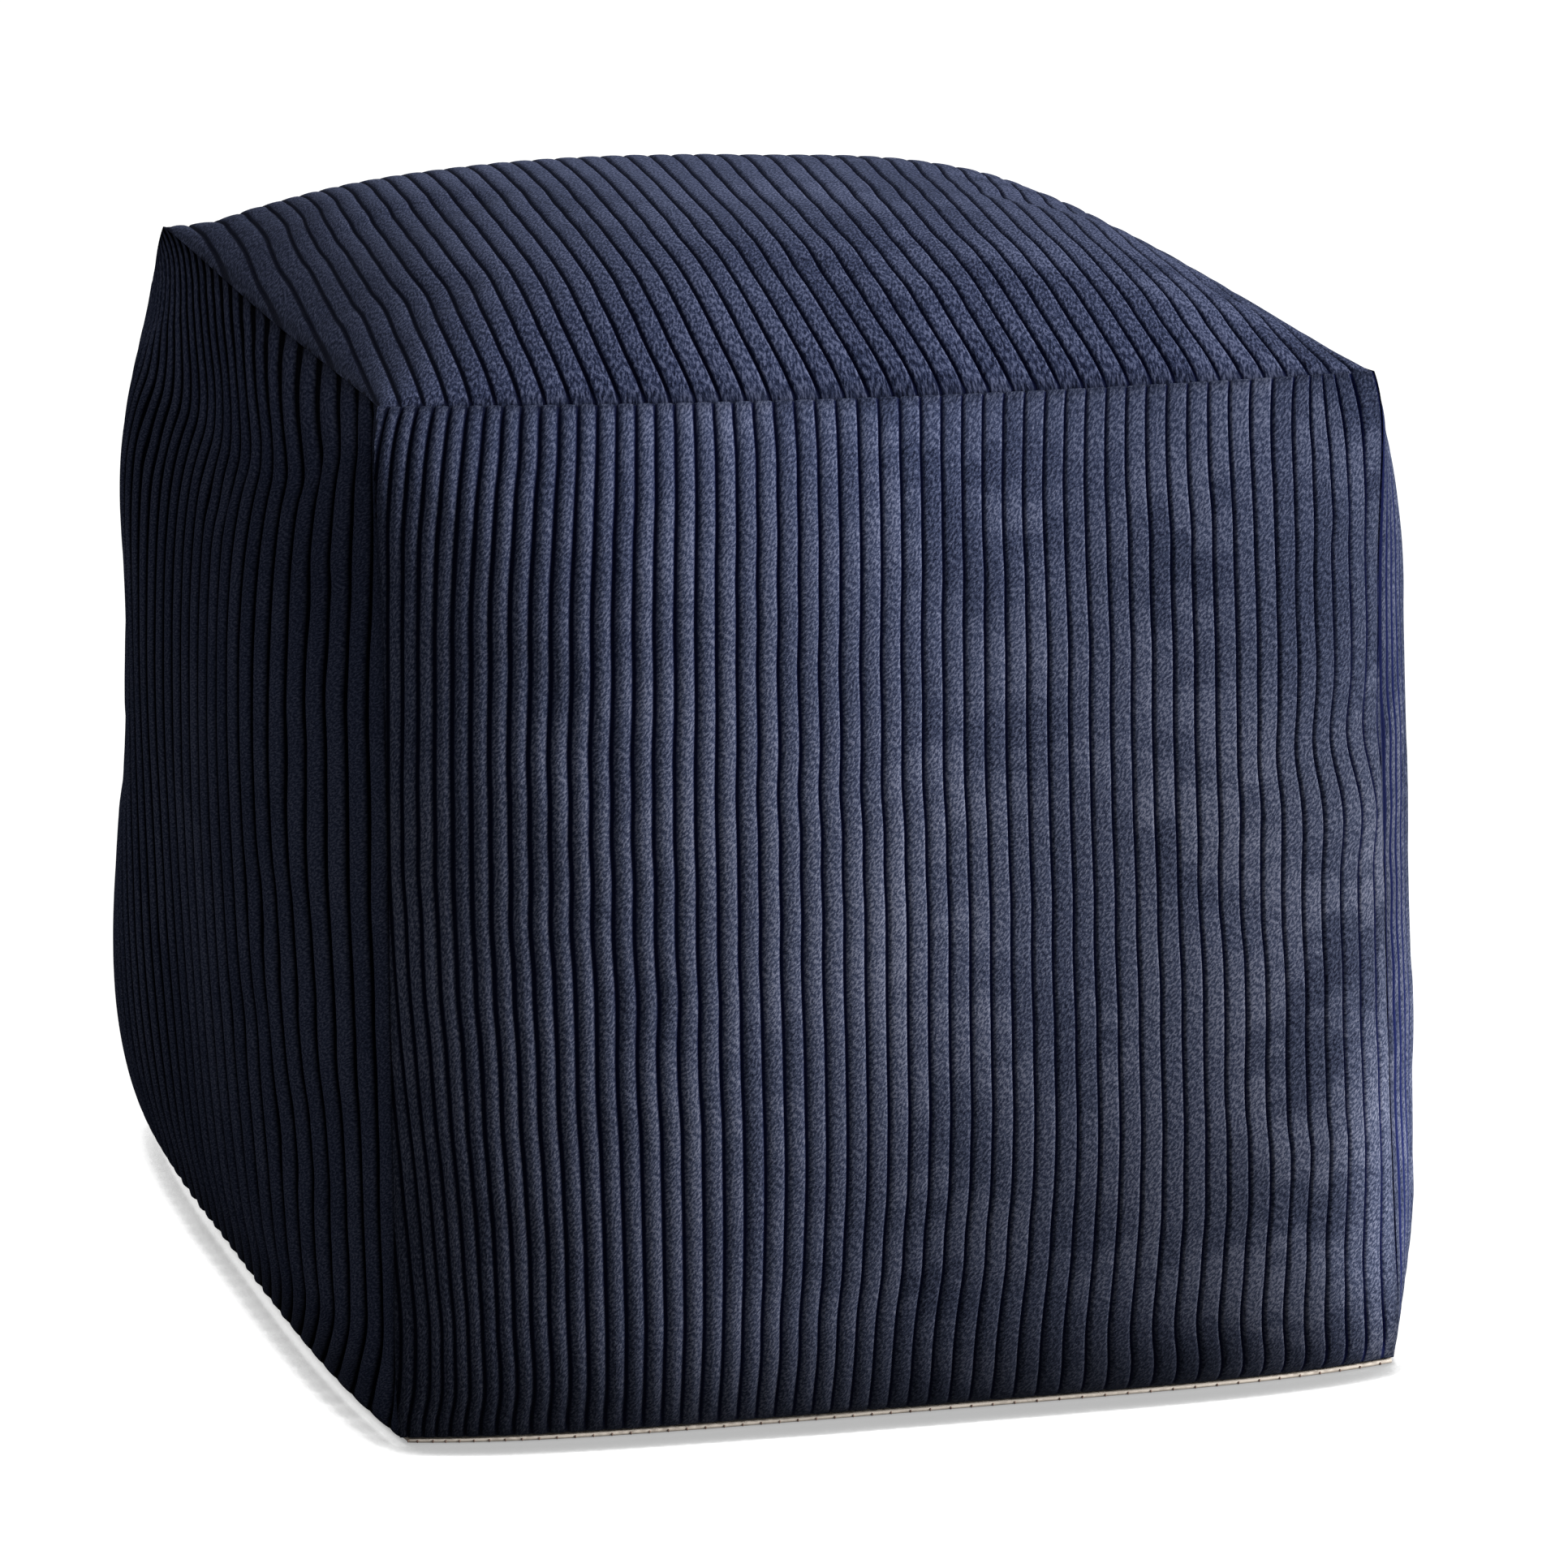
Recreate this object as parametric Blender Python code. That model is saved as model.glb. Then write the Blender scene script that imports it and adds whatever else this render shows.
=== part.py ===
# Corduroy cube bean bag: one filled body sewn from five square panels, on a thin undyed base cloth.
# Metres, +Z up. The front faces -Y. The origin is the middle of the footprint, on the floor.
import math

import bmesh
import bpy
import numpy as np

# The sewn panels
PANEL_SIDE = 0.42           # seam to seam across each square panel
SIDE_DROP = 0.3977          # height of the filled side panels between their seams
CROWN_HEIGHT = 0.0531       # rise of the top panel's middle above its seams
CROWN_FLATNESS = 3.0        # higher keeps the crown flat until close to the seams
CROWN_FULLNESS = 0.75       # below 1 rounds the crown up steeply just inside its seams
TOP_SEAM_DIP = 0.0038       # how far the middle of each top seam sinks below its corners

# The base cloth and the gap that parts it from the filled body
BASE_THICKNESS = 0.0025
CLOTH_GAP = 0.0003

# The raised cords of the cloth
GROOVE_DEPTH = 0.0015
GROOVE_SHARE = 0.30         # part of a wale's pitch that slopes into its grooves
COLUMNS_PER_WALE = 3        # a groove line and the two shoulders of the cord beside it

# The side panels' section at three levels. Turn is the angle in radians through which the cloth
# has curved where it meets the upright seams. Width is the share of the cut width that stays.
LEVELS = {
    "bottom": {"turn": 0.2466, "width": 0.9675},
    "middle": {"turn": 0.8807, "width": 1.0174},
    "top": {"turn": -0.0651, "width": 0.9750},
}
LEVEL_FULLNESS = 5.3        # higher keeps the middle section until close to the top and bottom seams

# One row for each upright panel. Quarter counts quarter turns from the front. Sharpness says how
# close to the seams the cloth curves, and turn_share scales its turn. Wales is the number of cords.
# Middle, first and last say how the cords spread (+) or crowd (-) in the middle of the panel, at
# its left seam and at its right seam, seen from outside. Tuck is how far the base cloth is folded in.
SIDES = {
    "front": {"quarter": 0, "sharpness": 3.52, "turn_share": 1.00, "wales": 50,
              "middle": 0.00, "first": -0.25, "last": 0.45, "tuck": 0.0},
    "right": {"quarter": 1, "sharpness": 3.52, "turn_share": 1.00, "wales": 50,
              "middle": 0.00, "first": 0.00, "last": 0.00, "tuck": 0.001},
    "back": {"quarter": 2, "sharpness": 3.52, "turn_share": 1.00, "wales": 50,
             "middle": 0.00, "first": 0.00, "last": 0.00, "tuck": 0.001},
    "left": {"quarter": 3, "sharpness": 2.46, "turn_share": 0.70, "wales": 36,
             "middle": 0.45, "first": 0.00, "last": 0.00, "tuck": 0.004},
}
CROWD_REACH = 0.25          # distance over which crowding at a seam dies away, in half panels

# How far sewing and filling pulled each corner from its even place, in metres
CORNERS = {
    "top_front_left": {"x": -1, "y": -1, "top": True, "pull": (0.0006, 0.0010, 0.0047)},
    "top_front_right": {"x": 1, "y": -1, "top": True, "pull": (-0.0152, 0.0065, 0.0019)},
    "top_back_left": {"x": -1, "y": 1, "top": True, "pull": (0.0016, -0.0008, -0.0002)},
    "top_back_right": {"x": 1, "y": 1, "top": True, "pull": (-0.0082, 0.0055, -0.0051)},
    "bottom_front_left": {"x": -1, "y": -1, "top": False, "pull": (0.0081, -0.0026, 0.0)},
    "bottom_front_right": {"x": 1, "y": -1, "top": False, "pull": (0.0099, -0.0084, 0.0)},
    "bottom_back_left": {"x": -1, "y": 1, "top": False, "pull": (-0.0055, 0.0055, 0.0)},
    "bottom_back_right": {"x": 1, "y": 1, "top": False, "pull": (0.0016, -0.0008, 0.0)},
}

# Soft hollows (+) and swells (-) in the filling. Across runs from -1 to 1, up from 0 to 1.
DENTS = [
    {"panel": "front", "across": -0.45, "up": 0.30, "reach": 0.30, "depth": 0.0020},
    {"panel": "front", "across": 0.35, "up": 0.62, "reach": 0.35, "depth": 0.0018},
    {"panel": "front", "across": 0.05, "up": 0.18, "reach": 0.25, "depth": -0.0015},
    {"panel": "right", "across": -0.62, "up": 0.66, "reach": 0.16, "depth": 0.0030},
    {"panel": "right", "across": 0.30, "up": 0.40, "reach": 0.35, "depth": 0.0025},
    {"panel": "back", "across": 0.10, "up": 0.55, "reach": 0.40, "depth": 0.0025},
    {"panel": "left", "across": -0.20, "up": 0.45, "reach": 0.25, "depth": 0.0015},
    {"panel": "left", "across": -0.55, "up": 0.20, "reach": 0.45, "depth": -0.0064},
    {"panel": "left", "across": -0.55, "up": 0.85, "reach": 0.35, "depth": -0.0054},
]

# Where the rows of points lie, up the sides and from front to back over the top
SIDE_ROWS = np.array([0.0, 0.03, 0.1, 0.28, 0.72, 0.9, 0.97, 1.0])
TOP_ROWS = np.array([-1.0, -0.95, -0.8, -0.4, 0.4, 0.8, 0.95, 1.0])
BASE_STEPS = 14             # straight runs along each edge of the base cloth
CURVE_STEPS = 97            # points in the sum that follows a panel's curve
OUTLINE_STEPS = 81          # points each way where the footprint is measured
MERGE_DISTANCE = 0.00001
SHARP_ANGLE = math.radians(50)

HALF_PANEL = PANEL_SIDE / 2
BAG_BOTTOM = BASE_THICKNESS + CLOTH_GAP

MATERIALS = {
    "filled_bag": {"name": "navy corduroy", "color": (0.045, 0.053, 0.092), "roughness": 0.92},
    "base_panel": {"name": "undyed base cloth", "color": (0.42, 0.38, 0.33), "roughness": 0.90},
}


def clear_scene():
    for item in list(bpy.context.scene.objects):
        bpy.data.objects.remove(item, do_unlink=True)


def level_value(column, height):
    """A section value at each height share, blended from the three named levels."""
    blend = 1 - np.abs(2 * height - 1) ** LEVEL_FULLNESS
    end = np.where(height > 0.5, LEVELS["top"][column], LEVELS["bottom"][column])
    return end + (LEVELS["middle"][column] - end) * blend


def running_sum(values):
    """Sum along each row by the middle of each step, starting from nothing."""
    steps = (values[:, 1:] + values[:, :-1]) / 2
    start = np.zeros((len(values), 1))
    return np.concatenate([start, np.cumsum(steps, 1)], 1) * HALF_PANEL / (CURVE_STEPS - 1)


def section(side, height):
    """Half of a panel's section at each height: width from the middle, and drop towards the seam."""
    share = np.linspace(0, 1, CURVE_STEPS)
    turn = level_value("turn", height)[:, None]
    even = turn * share ** SIDES["front"]["sharpness"]
    seam_width = running_sum(np.cos(even))[:, -1] * level_value("width", height)
    own = turn * side["turn_share"] * share ** side["sharpness"]
    width = running_sum(np.cos(own))
    stretch = (seam_width / width[:, -1])[:, None]
    return share, width * stretch, running_sum(np.sin(own)) * stretch


def side_points(name, across, height):
    """Points of one upright panel: a row for each height, a column for each place across."""
    side = SIDES[name]
    share, width, drop = section(side, height)
    x = np.array([np.interp(np.abs(across), share, row) for row in width]) * np.sign(across)
    sunk = np.array([np.interp(np.abs(across), share, row) for row in drop])
    outward = (width[:, -1] + drop[:, -1])[:, None] - sunk
    up = height[:, None]
    from_seams = (1 - across ** 2) * 4 * up * (1 - up)
    for dent in DENTS:
        if dent["panel"] == name:
            away = (across - dent["across"]) ** 2 + (2 * (up - dent["up"])) ** 2
            hollow = dent["depth"] * np.exp(-away / dent["reach"] ** 2)
            outward = outward - hollow * np.minimum(1, 2 * from_seams)
    z = up * SIDE_DROP - up ** 6 * TOP_SEAM_DIP * (1 - across ** 2)
    cosine = round(math.cos(side["quarter"] * math.pi / 2))
    sine = round(math.sin(side["quarter"] * math.pi / 2))
    return np.stack([x * cosine + outward * sine, x * sine - outward * cosine, z], -1)


def top_points(across_rows, along):
    """Points of the top panel, stretched between the four top seams and crowned."""
    top = np.array([1.0])
    front = side_points("front", across_rows[0], top)[0]
    back = side_points("back", -across_rows[-1], top)[0]
    left = side_points("left", -along, top)[0][:, None]
    right = side_points("right", along, top)[0][:, None]
    v = ((along + 1) / 2)[:, None, None]
    u = ((across_rows + 1) / 2)[..., None]
    front_corners = (1 - v) * ((1 - u) * front[0] + u * front[-1])
    back_corners = v * ((1 - u) * back[0] + u * back[-1])
    points = (1 - v) * front + v * back + (1 - u) * left + u * right - front_corners - back_corners
    rise = (1 - np.abs(across_rows) ** CROWN_FLATNESS) * (1 - np.abs(along[:, None]) ** CROWN_FLATNESS)
    points[..., 2] += CROWN_HEIGHT * rise ** CROWN_FULLNESS
    return points


def pull_corners(points):
    """Moves every point by its share of the eight corner pulls."""
    x = np.clip(points[..., 0] / HALF_PANEL, -1, 1)
    y = np.clip(points[..., 1] / HALF_PANEL, -1, 1)
    z = np.clip(points[..., 2] / SIDE_DROP, 0, 1)
    moved = points.copy()
    for corner in CORNERS.values():
        level = z if corner["top"] else 1 - z
        share = (1 + corner["x"] * x) / 2 * (1 + corner["y"] * y) / 2 * level
        moved += share[..., None] * np.array(corner["pull"])
    return moved


def wale_columns(name):
    """Places across a panel, from -1 to 1, of each groove and of the two shoulders beside it."""
    side = SIDES[name]
    fine = np.linspace(-1, 1, 401)
    pitch = 1 + side["middle"] * (1 - fine ** 2)
    pitch += side["first"] * np.exp(-(1 + fine) / CROWD_REACH)
    pitch += side["last"] * np.exp(-(1 - fine) / CROWD_REACH)
    place = np.concatenate([[0], np.cumsum((pitch[1:] + pitch[:-1]) / 2)])
    place = 2 * place / place[-1] - 1
    counted = []
    for wale in range(side["wales"]):
        counted += [wale, wale + GROOVE_SHARE / 2, wale + 1 - GROOVE_SHARE / 2]
    counted.append(side["wales"])
    even = 2 * np.array(counted) / side["wales"] - 1
    across = np.interp(even, fine, place)
    across[0], across[-1] = -1, 1
    return across


def sink_grooves(points):
    """Presses the groove columns into the panel, all but the edge columns and rows on the seams."""
    across_way = np.gradient(points, axis=1)
    up_way = np.gradient(points, axis=0)
    normal = np.cross(across_way, up_way)
    normal /= np.linalg.norm(normal, axis=-1, keepdims=True)
    depth = np.zeros(points.shape[:2])
    depth[1:-1, COLUMNS_PER_WALE:-1:COLUMNS_PER_WALE] = GROOVE_DEPTH
    return points - normal * depth[..., None]


def grid_faces(mesh, points):
    """Adds a grid of quads, facing the viewer when columns run right and rows run up."""
    rows = [[mesh.verts.new(point) for point in row] for row in points]
    for low, high in zip(rows[:-1], rows[1:]):
        for i in range(len(low) - 1):
            mesh.faces.new((low[i], low[i + 1], high[i + 1], high[i]))
    return rows


def zip_edges(mesh, near, far):
    """Fills the strip between two edges of the top panel that have different counts of points."""
    i = j = 0
    while i < len(near) - 1 or j < len(far) - 1:
        near_done = i / (len(near) - 1)
        far_done = j / (len(far) - 1)
        if j == len(far) - 1 or (i < len(near) - 1 and near_done <= far_done):
            mesh.faces.new((near[i], far[j], near[i + 1]))
            i += 1
        else:
            mesh.faces.new((near[i], far[j], far[j + 1]))
            j += 1


def finish_object(name, mesh):
    """Makes the named object from a bmesh, with its own material."""
    look = MATERIALS[name]
    data = bpy.data.meshes.new(name)
    mesh.to_mesh(data)
    mesh.free()
    data.shade_smooth()
    data.set_sharp_from_angle(angle=SHARP_ANGLE)
    material = bpy.data.materials.new(look["name"])
    material.use_nodes = True
    shader = material.node_tree.nodes["Principled BSDF"]
    shader.inputs["Base Color"].default_value = (*look["color"], 1)
    shader.inputs["Roughness"].default_value = look["roughness"]
    shader.inputs["Metallic"].default_value = 0
    data.materials.append(material)
    item = bpy.data.objects.new(name, data)
    bpy.context.scene.collection.objects.link(item)
    return item


def footprint_middle():
    """Middle of the bag's outline seen from above."""
    across = np.linspace(-1, 1, OUTLINE_STEPS)
    height = np.linspace(0, 1, OUTLINE_STEPS)
    panels = [pull_corners(side_points(name, across, height)).reshape(-1, 3) for name in SIDES]
    outline = np.concatenate(panels)
    middle = (outline.min(0) + outline.max(0)) / 2
    return np.array([middle[0], middle[1], 0])


def make_filled_bag(middle):
    """The filled body: four upright panels, the crowned top and the flat bottom, sewn edge to edge."""
    place = np.array([0, 0, BAG_BOTTOM]) - middle
    mesh = bmesh.new()
    columns = {name: wale_columns(name) for name in SIDES}
    rows = {}
    for name in SIDES:
        points = sink_grooves(pull_corners(side_points(name, columns[name], SIDE_ROWS)))
        rows[name] = grid_faces(mesh, points + place)

    back_share = ((TOP_ROWS + 1) / 2)[:, None]
    across_rows = (1 - back_share) * columns["front"] - back_share * columns["back"][::-1]
    top = sink_grooves(pull_corners(top_points(across_rows, TOP_ROWS))) + place
    inner = grid_faces(mesh, top[:, 1:-1])
    left_edge = rows["left"][-1][::-1]
    right_edge = rows["right"][-1]
    zip_edges(mesh, left_edge, [row[0] for row in inner])
    zip_edges(mesh, [row[-1] for row in inner], right_edge)

    outline = [vertex for name in SIDES for vertex in rows[name][0][:-1]]
    mesh.faces.new(outline[::-1])
    bmesh.ops.remove_doubles(mesh, verts=mesh.verts, dist=MERGE_DISTANCE)
    bmesh.ops.triangulate(mesh, faces=mesh.faces, quad_method="FIXED")
    return finish_object("filled_bag", mesh)


def tuck_base(points):
    """Draws the base cloth's outline in by the tuck of each side."""
    x = points[:, 0] / HALF_PANEL
    y = points[:, 1] / HALF_PANEL
    tucked = points.copy()
    tucked[:, 0] += SIDES["left"]["tuck"] * (1 - x) / 2 - SIDES["right"]["tuck"] * (1 + x) / 2
    tucked[:, 1] += SIDES["front"]["tuck"] * (1 - y) / 2 - SIDES["back"]["tuck"] * (1 + y) / 2
    return tucked


def make_base_panel(middle):
    """The base cloth: a flat sheet cut to the outline of the bottom seam."""
    across = np.linspace(-1, 1, BASE_STEPS + 1)
    bottom = np.array([0.0])
    edges = [side_points(name, across, bottom)[0][:-1] for name in SIDES]
    outline = tuck_base(pull_corners(np.concatenate(edges))) - middle
    mesh = bmesh.new()
    face = mesh.faces.new([mesh.verts.new((x, y, 0)) for x, y, z in outline[::-1]])
    lifted = bmesh.ops.extrude_face_region(mesh, geom=[face], use_keep_orig=True)
    top = [item for item in lifted["geom"] if isinstance(item, bmesh.types.BMVert)]
    bmesh.ops.translate(mesh, verts=top, vec=(0, 0, BASE_THICKNESS))
    bmesh.ops.recalc_face_normals(mesh, faces=mesh.faces)
    bmesh.ops.triangulate(mesh, faces=mesh.faces)
    return finish_object("base_panel", mesh)


def main():
    clear_scene()
    middle = footprint_middle()
    make_filled_bag(middle)
    make_base_panel(middle)


main()
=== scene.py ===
import math

import bpy
import numpy as np
from mathutils import Matrix, Vector, kdtree


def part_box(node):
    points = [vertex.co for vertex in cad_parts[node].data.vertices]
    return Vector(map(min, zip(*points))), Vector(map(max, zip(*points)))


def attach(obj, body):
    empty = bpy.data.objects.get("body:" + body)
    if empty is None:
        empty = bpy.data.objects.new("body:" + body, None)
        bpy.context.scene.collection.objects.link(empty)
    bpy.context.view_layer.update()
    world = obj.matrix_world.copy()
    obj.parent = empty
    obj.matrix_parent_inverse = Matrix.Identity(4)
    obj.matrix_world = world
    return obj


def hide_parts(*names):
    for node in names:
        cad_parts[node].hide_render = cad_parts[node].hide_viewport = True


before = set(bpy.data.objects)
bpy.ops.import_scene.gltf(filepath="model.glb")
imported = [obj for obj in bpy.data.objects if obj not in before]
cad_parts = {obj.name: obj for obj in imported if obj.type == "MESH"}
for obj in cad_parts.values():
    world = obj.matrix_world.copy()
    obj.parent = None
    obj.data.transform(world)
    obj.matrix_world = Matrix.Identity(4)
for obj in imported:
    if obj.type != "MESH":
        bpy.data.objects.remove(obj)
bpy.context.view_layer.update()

bagLow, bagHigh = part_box("filled_bag")
baseLow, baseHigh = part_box("base_panel")
print("frame loaded: bag from", [round(v, 4) for v in bagLow], "to", [round(v, 4) for v in bagHigh])

# The sewn shape, the same sizes as the solid's
bag = {
    "halfPanel": 0.21,          # half of a square panel, seam to seam
    "sideDrop": 0.3977,         # height between the top and bottom seams
    "crownHeight": 0.0531,
    "crownFlatness": 3.0,
    "crownFullness": 0.75,
    "topSeamDip": 0.0038,
    "seamDipFullness": 6,
    "levelFullness": 5.3,
    "curveSteps": 97,
    "outlineSteps": 81,
    "levels": {                 # turn of the cloth at the upright seams, and the width that is left
        "bottom": {"turn": 0.2466, "width": 0.9675},
        "middle": {"turn": 0.8807, "width": 1.0174},
        "top": {"turn": -0.0651, "width": 0.9750},
    },
    "corners": {                # how far sewing and filling pulled each corner
        "topFrontLeft": {"side": (-1, -1, 1), "pull": (0.0006, 0.0010, 0.0047)},
        "topFrontRight": {"side": (1, -1, 1), "pull": (-0.0152, 0.0065, 0.0019)},
        "topBackLeft": {"side": (-1, 1, 1), "pull": (0.0016, -0.0008, -0.0002)},
        "topBackRight": {"side": (1, 1, 1), "pull": (-0.0082, 0.0055, -0.0051)},
        "bottomFrontLeft": {"side": (-1, -1, 0), "pull": (0.0081, -0.0026, 0.0)},
        "bottomFrontRight": {"side": (1, -1, 0), "pull": (0.0099, -0.0084, 0.0)},
        "bottomBackLeft": {"side": (-1, 1, 0), "pull": (-0.0055, 0.0055, 0.0)},
        "bottomBackRight": {"side": (1, 1, 0), "pull": (0.0016, -0.0008, 0.0)},
    },
    "shoulder": {"at": (-0.235, 0.235, 0.362), "reach": 0.036, "push": (-0.0043, 0.0, 0.0)},
    "dents": [                  # soft hollows (+) and swells (-) in the filling
        {"panel": "front", "across": -0.45, "up": 0.30, "reach": 0.30, "depth": 0.0020},
        {"panel": "front", "across": 0.35, "up": 0.62, "reach": 0.35, "depth": 0.0018},
        {"panel": "front", "across": 0.05, "up": 0.18, "reach": 0.25, "depth": -0.0015},
        {"panel": "right", "across": -0.62, "up": 0.66, "reach": 0.16, "depth": 0.0030},
        {"panel": "right", "across": 0.30, "up": 0.40, "reach": 0.35, "depth": 0.0025},
        {"panel": "back", "across": 0.10, "up": 0.55, "reach": 0.40, "depth": 0.0025},
        {"panel": "left", "across": -0.20, "up": 0.45, "reach": 0.25, "depth": 0.0015},
        {"panel": "left", "across": -0.55, "up": 0.20, "reach": 0.45, "depth": -0.0064},
        {"panel": "left", "across": -0.55, "up": 0.85, "reach": 0.35, "depth": -0.0054},
    ],
}

# One row for each upright panel, in quarter turns from the front
sides = {
    "front": {"quarter": 0, "sharpness": 3.52, "turnShare": 1.00},
    "right": {"quarter": 1, "sharpness": 3.52, "turnShare": 1.00},
    "back": {"quarter": 2, "sharpness": 3.52, "turnShare": 1.00},
    "left": {"quarter": 3, "sharpness": 2.46, "turnShare": 0.70},
}


def levelValue(column, up):
    blend = 1 - np.abs(2 * up - 1) ** bag["levelFullness"]
    end = np.where(up > 0.5, bag["levels"]["top"][column], bag["levels"]["bottom"][column])
    return end + (bag["levels"]["middle"][column] - end) * blend


def runningSum(values):
    steps = (values[:, 1:] + values[:, :-1]) / 2
    start = np.zeros((len(values), 1))
    return np.concatenate([start, np.cumsum(steps, 1)], 1) * bag["halfPanel"] / (bag["curveSteps"] - 1)


# Half of a panel's section at each height: width from its middle, and drop towards the seam
def section(side, up):
    share = np.linspace(0, 1, bag["curveSteps"])
    turn = levelValue("turn", up)[:, None]
    even = turn * share ** sides["front"]["sharpness"]
    seamWidth = runningSum(np.cos(even))[:, -1] * levelValue("width", up)
    own = turn * side["turnShare"] * share ** side["sharpness"]
    width = runningSum(np.cos(own))
    stretch = (seamWidth / width[:, -1])[:, None]
    return share, width * stretch, runningSum(np.sin(own)) * stretch


# Points of an upright panel. Across has a row for each height and runs from -1 to 1.
def sidePoints(name, across, up):
    side = sides[name]
    share, width, drop = section(side, up)
    size = np.abs(across)
    x = np.array([np.interp(s, share, row) for s, row in zip(size, width)]) * np.sign(across)
    sunk = np.array([np.interp(s, share, row) for s, row in zip(size, drop)])
    outward = (width[:, -1] + drop[:, -1])[:, None] - sunk
    rise = up[:, None]
    fromSeams = (1 - across ** 2) * 4 * rise * (1 - rise)
    for dent in bag["dents"]:
        if dent["panel"] == name:
            away = (across - dent["across"]) ** 2 + (2 * (rise - dent["up"])) ** 2
            hollow = dent["depth"] * np.exp(-away / dent["reach"] ** 2)
            outward = outward - hollow * np.minimum(1, 2 * fromSeams)
    z = rise * bag["sideDrop"] - rise ** bag["seamDipFullness"] * bag["topSeamDip"] * (1 - across ** 2)
    cosine = round(math.cos(side["quarter"] * math.pi / 2))
    sine = round(math.sin(side["quarter"] * math.pi / 2))
    return np.stack([x * cosine + outward * sine, x * sine - outward * cosine, z], -1)


# A top seam's curve, read at any places along it
def topSeam(name, across):
    fine = np.linspace(-1, 1, 2 * bag["curveSteps"] - 1)
    curve = sidePoints(name, fine[None], np.array([1.0]))[0]
    return np.stack([np.interp(across, fine, curve[:, axis]) for axis in range(3)], -1)


# Points between four seams. Ends are the corners: front left, front right, back left, back right.
def stretched(front, back, left, right, ends, u, v):
    frontCorners = (1 - u) * ends[0] + u * ends[1]
    backCorners = (1 - u) * ends[2] + u * ends[3]
    return (1 - v) * (front - frontCorners) + v * (back - backCorners) + (1 - u) * left + u * right


# Points of the top panel, stretched between its four seams and crowned
def topPoints(across, along):
    front, back = topSeam("front", across), topSeam("back", -across)
    left, right = topSeam("left", -along)[:, None], topSeam("right", along)[:, None]
    ends = [*topSeam("front", np.array([-1, 1])), *topSeam("back", np.array([1, -1]))]
    v = ((along + 1) / 2)[:, None, None]
    u = ((across + 1) / 2)[..., None]
    points = stretched(front, back, left, right, ends, u, v)
    flatness = bag["crownFlatness"]
    rise = (1 - np.abs(across) ** flatness) * (1 - np.abs(along[:, None]) ** flatness)
    points[..., 2] += bag["crownHeight"] * np.maximum(rise, 0) ** bag["crownFullness"]
    return points


def pullCorners(points):
    half = bag["halfPanel"]
    x = np.clip(points[..., 0] / half, -1, 1)
    y = np.clip(points[..., 1] / half, -1, 1)
    z = np.clip(points[..., 2] / bag["sideDrop"], 0, 1)
    moved = points.copy()
    for corner in bag["corners"].values():
        sideX, sideY, top = corner["side"]
        share = (1 + sideX * x) / 2 * (1 + sideY * y) / 2 * (z if top else 1 - z)
        moved += share[..., None] * np.array(corner["pull"])
    return moved


def footprintMiddle():
    fine = np.linspace(-1, 1, bag["outlineSteps"])
    up = np.linspace(0, 1, bag["outlineSteps"])
    across = np.repeat(fine[None], len(up), 0)
    outline = np.concatenate([pullCorners(sidePoints(n, across, up)).reshape(-1, 3) for n in sides])
    return (outline.min(0) + outline.max(0)) / 2


middle = footprintMiddle()
bagPlace = np.array([-middle[0], -middle[1], bagLow[2]])


def panelPoints(name, across, rows):
    points = topPoints(across, rows) if name == "top" else sidePoints(name, across, rows)
    points = pullCorners(points) + bagPlace
    shoulder = bag["shoulder"]
    away = np.linalg.norm(points - np.array(shoulder["at"]), axis=-1, keepdims=True) / shoulder["reach"]
    return points + np.exp(-away ** 2) * np.array(shoulder["push"])


# A smooth value at (u, v) from 0 to 1 on a grid, by a four-point curve each way
def smoothSample(grid, u, v):
    def curve(values, t, axis):
        count = values.shape[axis] - 1
        i = np.clip(np.floor(t * count).astype(int), 0, count - 1)
        f = t * count - i
        weights = (
            ((-f + 2 * f ** 2 - f ** 3) / 2, -1),
            ((2 - 5 * f ** 2 + 3 * f ** 3) / 2, 0),
            ((f + 4 * f ** 2 - 3 * f ** 3) / 2, 1),
            ((-f ** 2 + f ** 3) / 2, 2),
        )
        return [(w, np.clip(i + k, 0, count)) for w, k in weights]

    total = 0
    for wRow, iRow in curve(grid, v, 0):
        for wCol, iCol in curve(grid, u, 1):
            value = grid[iRow, iCol]
            weight = wRow * wCol
            total = total + (value * weight[..., None] if value.ndim > weight.ndim else value * weight)
    return total


def softNoise(seed, rows, columns):
    return np.random.default_rng(seed).uniform(-1, 1, (rows, columns))


def deselectAll():
    if bpy.context.mode != "OBJECT":
        bpy.ops.object.mode_set(mode="OBJECT")
    bpy.ops.object.select_all(action="DESELECT")


# A primitive grid whose points are then laid where the panel's cloth goes
def laidGrid(name, points):
    deselectAll()
    rows, columns = points.shape[:2]
    bpy.ops.mesh.primitive_grid_add(x_subdivisions=columns - 1, y_subdivisions=rows - 1, size=2)
    piece = bpy.context.active_object
    piece.name = name
    piece.data.name = name
    piece.data.vertices.foreach_set("co", points.reshape(-1).astype(np.float32))
    piece.data.update()
    return piece


# The cover as a coarse sewn cage, filled and settled by the cloth simulation
cover = {
    "cells": 44,                # across each panel
    "frames": 20,
    "quality": 6,
    "pressure": 4.0,
    "mass": 0.3,
    "stiffness": 18.0,
    "shearStiffness": 6.0,
    "bending": 2.0,
    "seamShrink": 0.03,         # how much shorter the sewn seams pull
    "mostMoved": 0.0006,        # how deep a wrinkle may be
    "evenPasses": (2, 14),      # the finest and the broad movement are taken off: the measured shape stays
    "seamCells": 3,             # over how many cells the wrinkles fade to the seams
    "merge": 0.0002,
}


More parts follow.
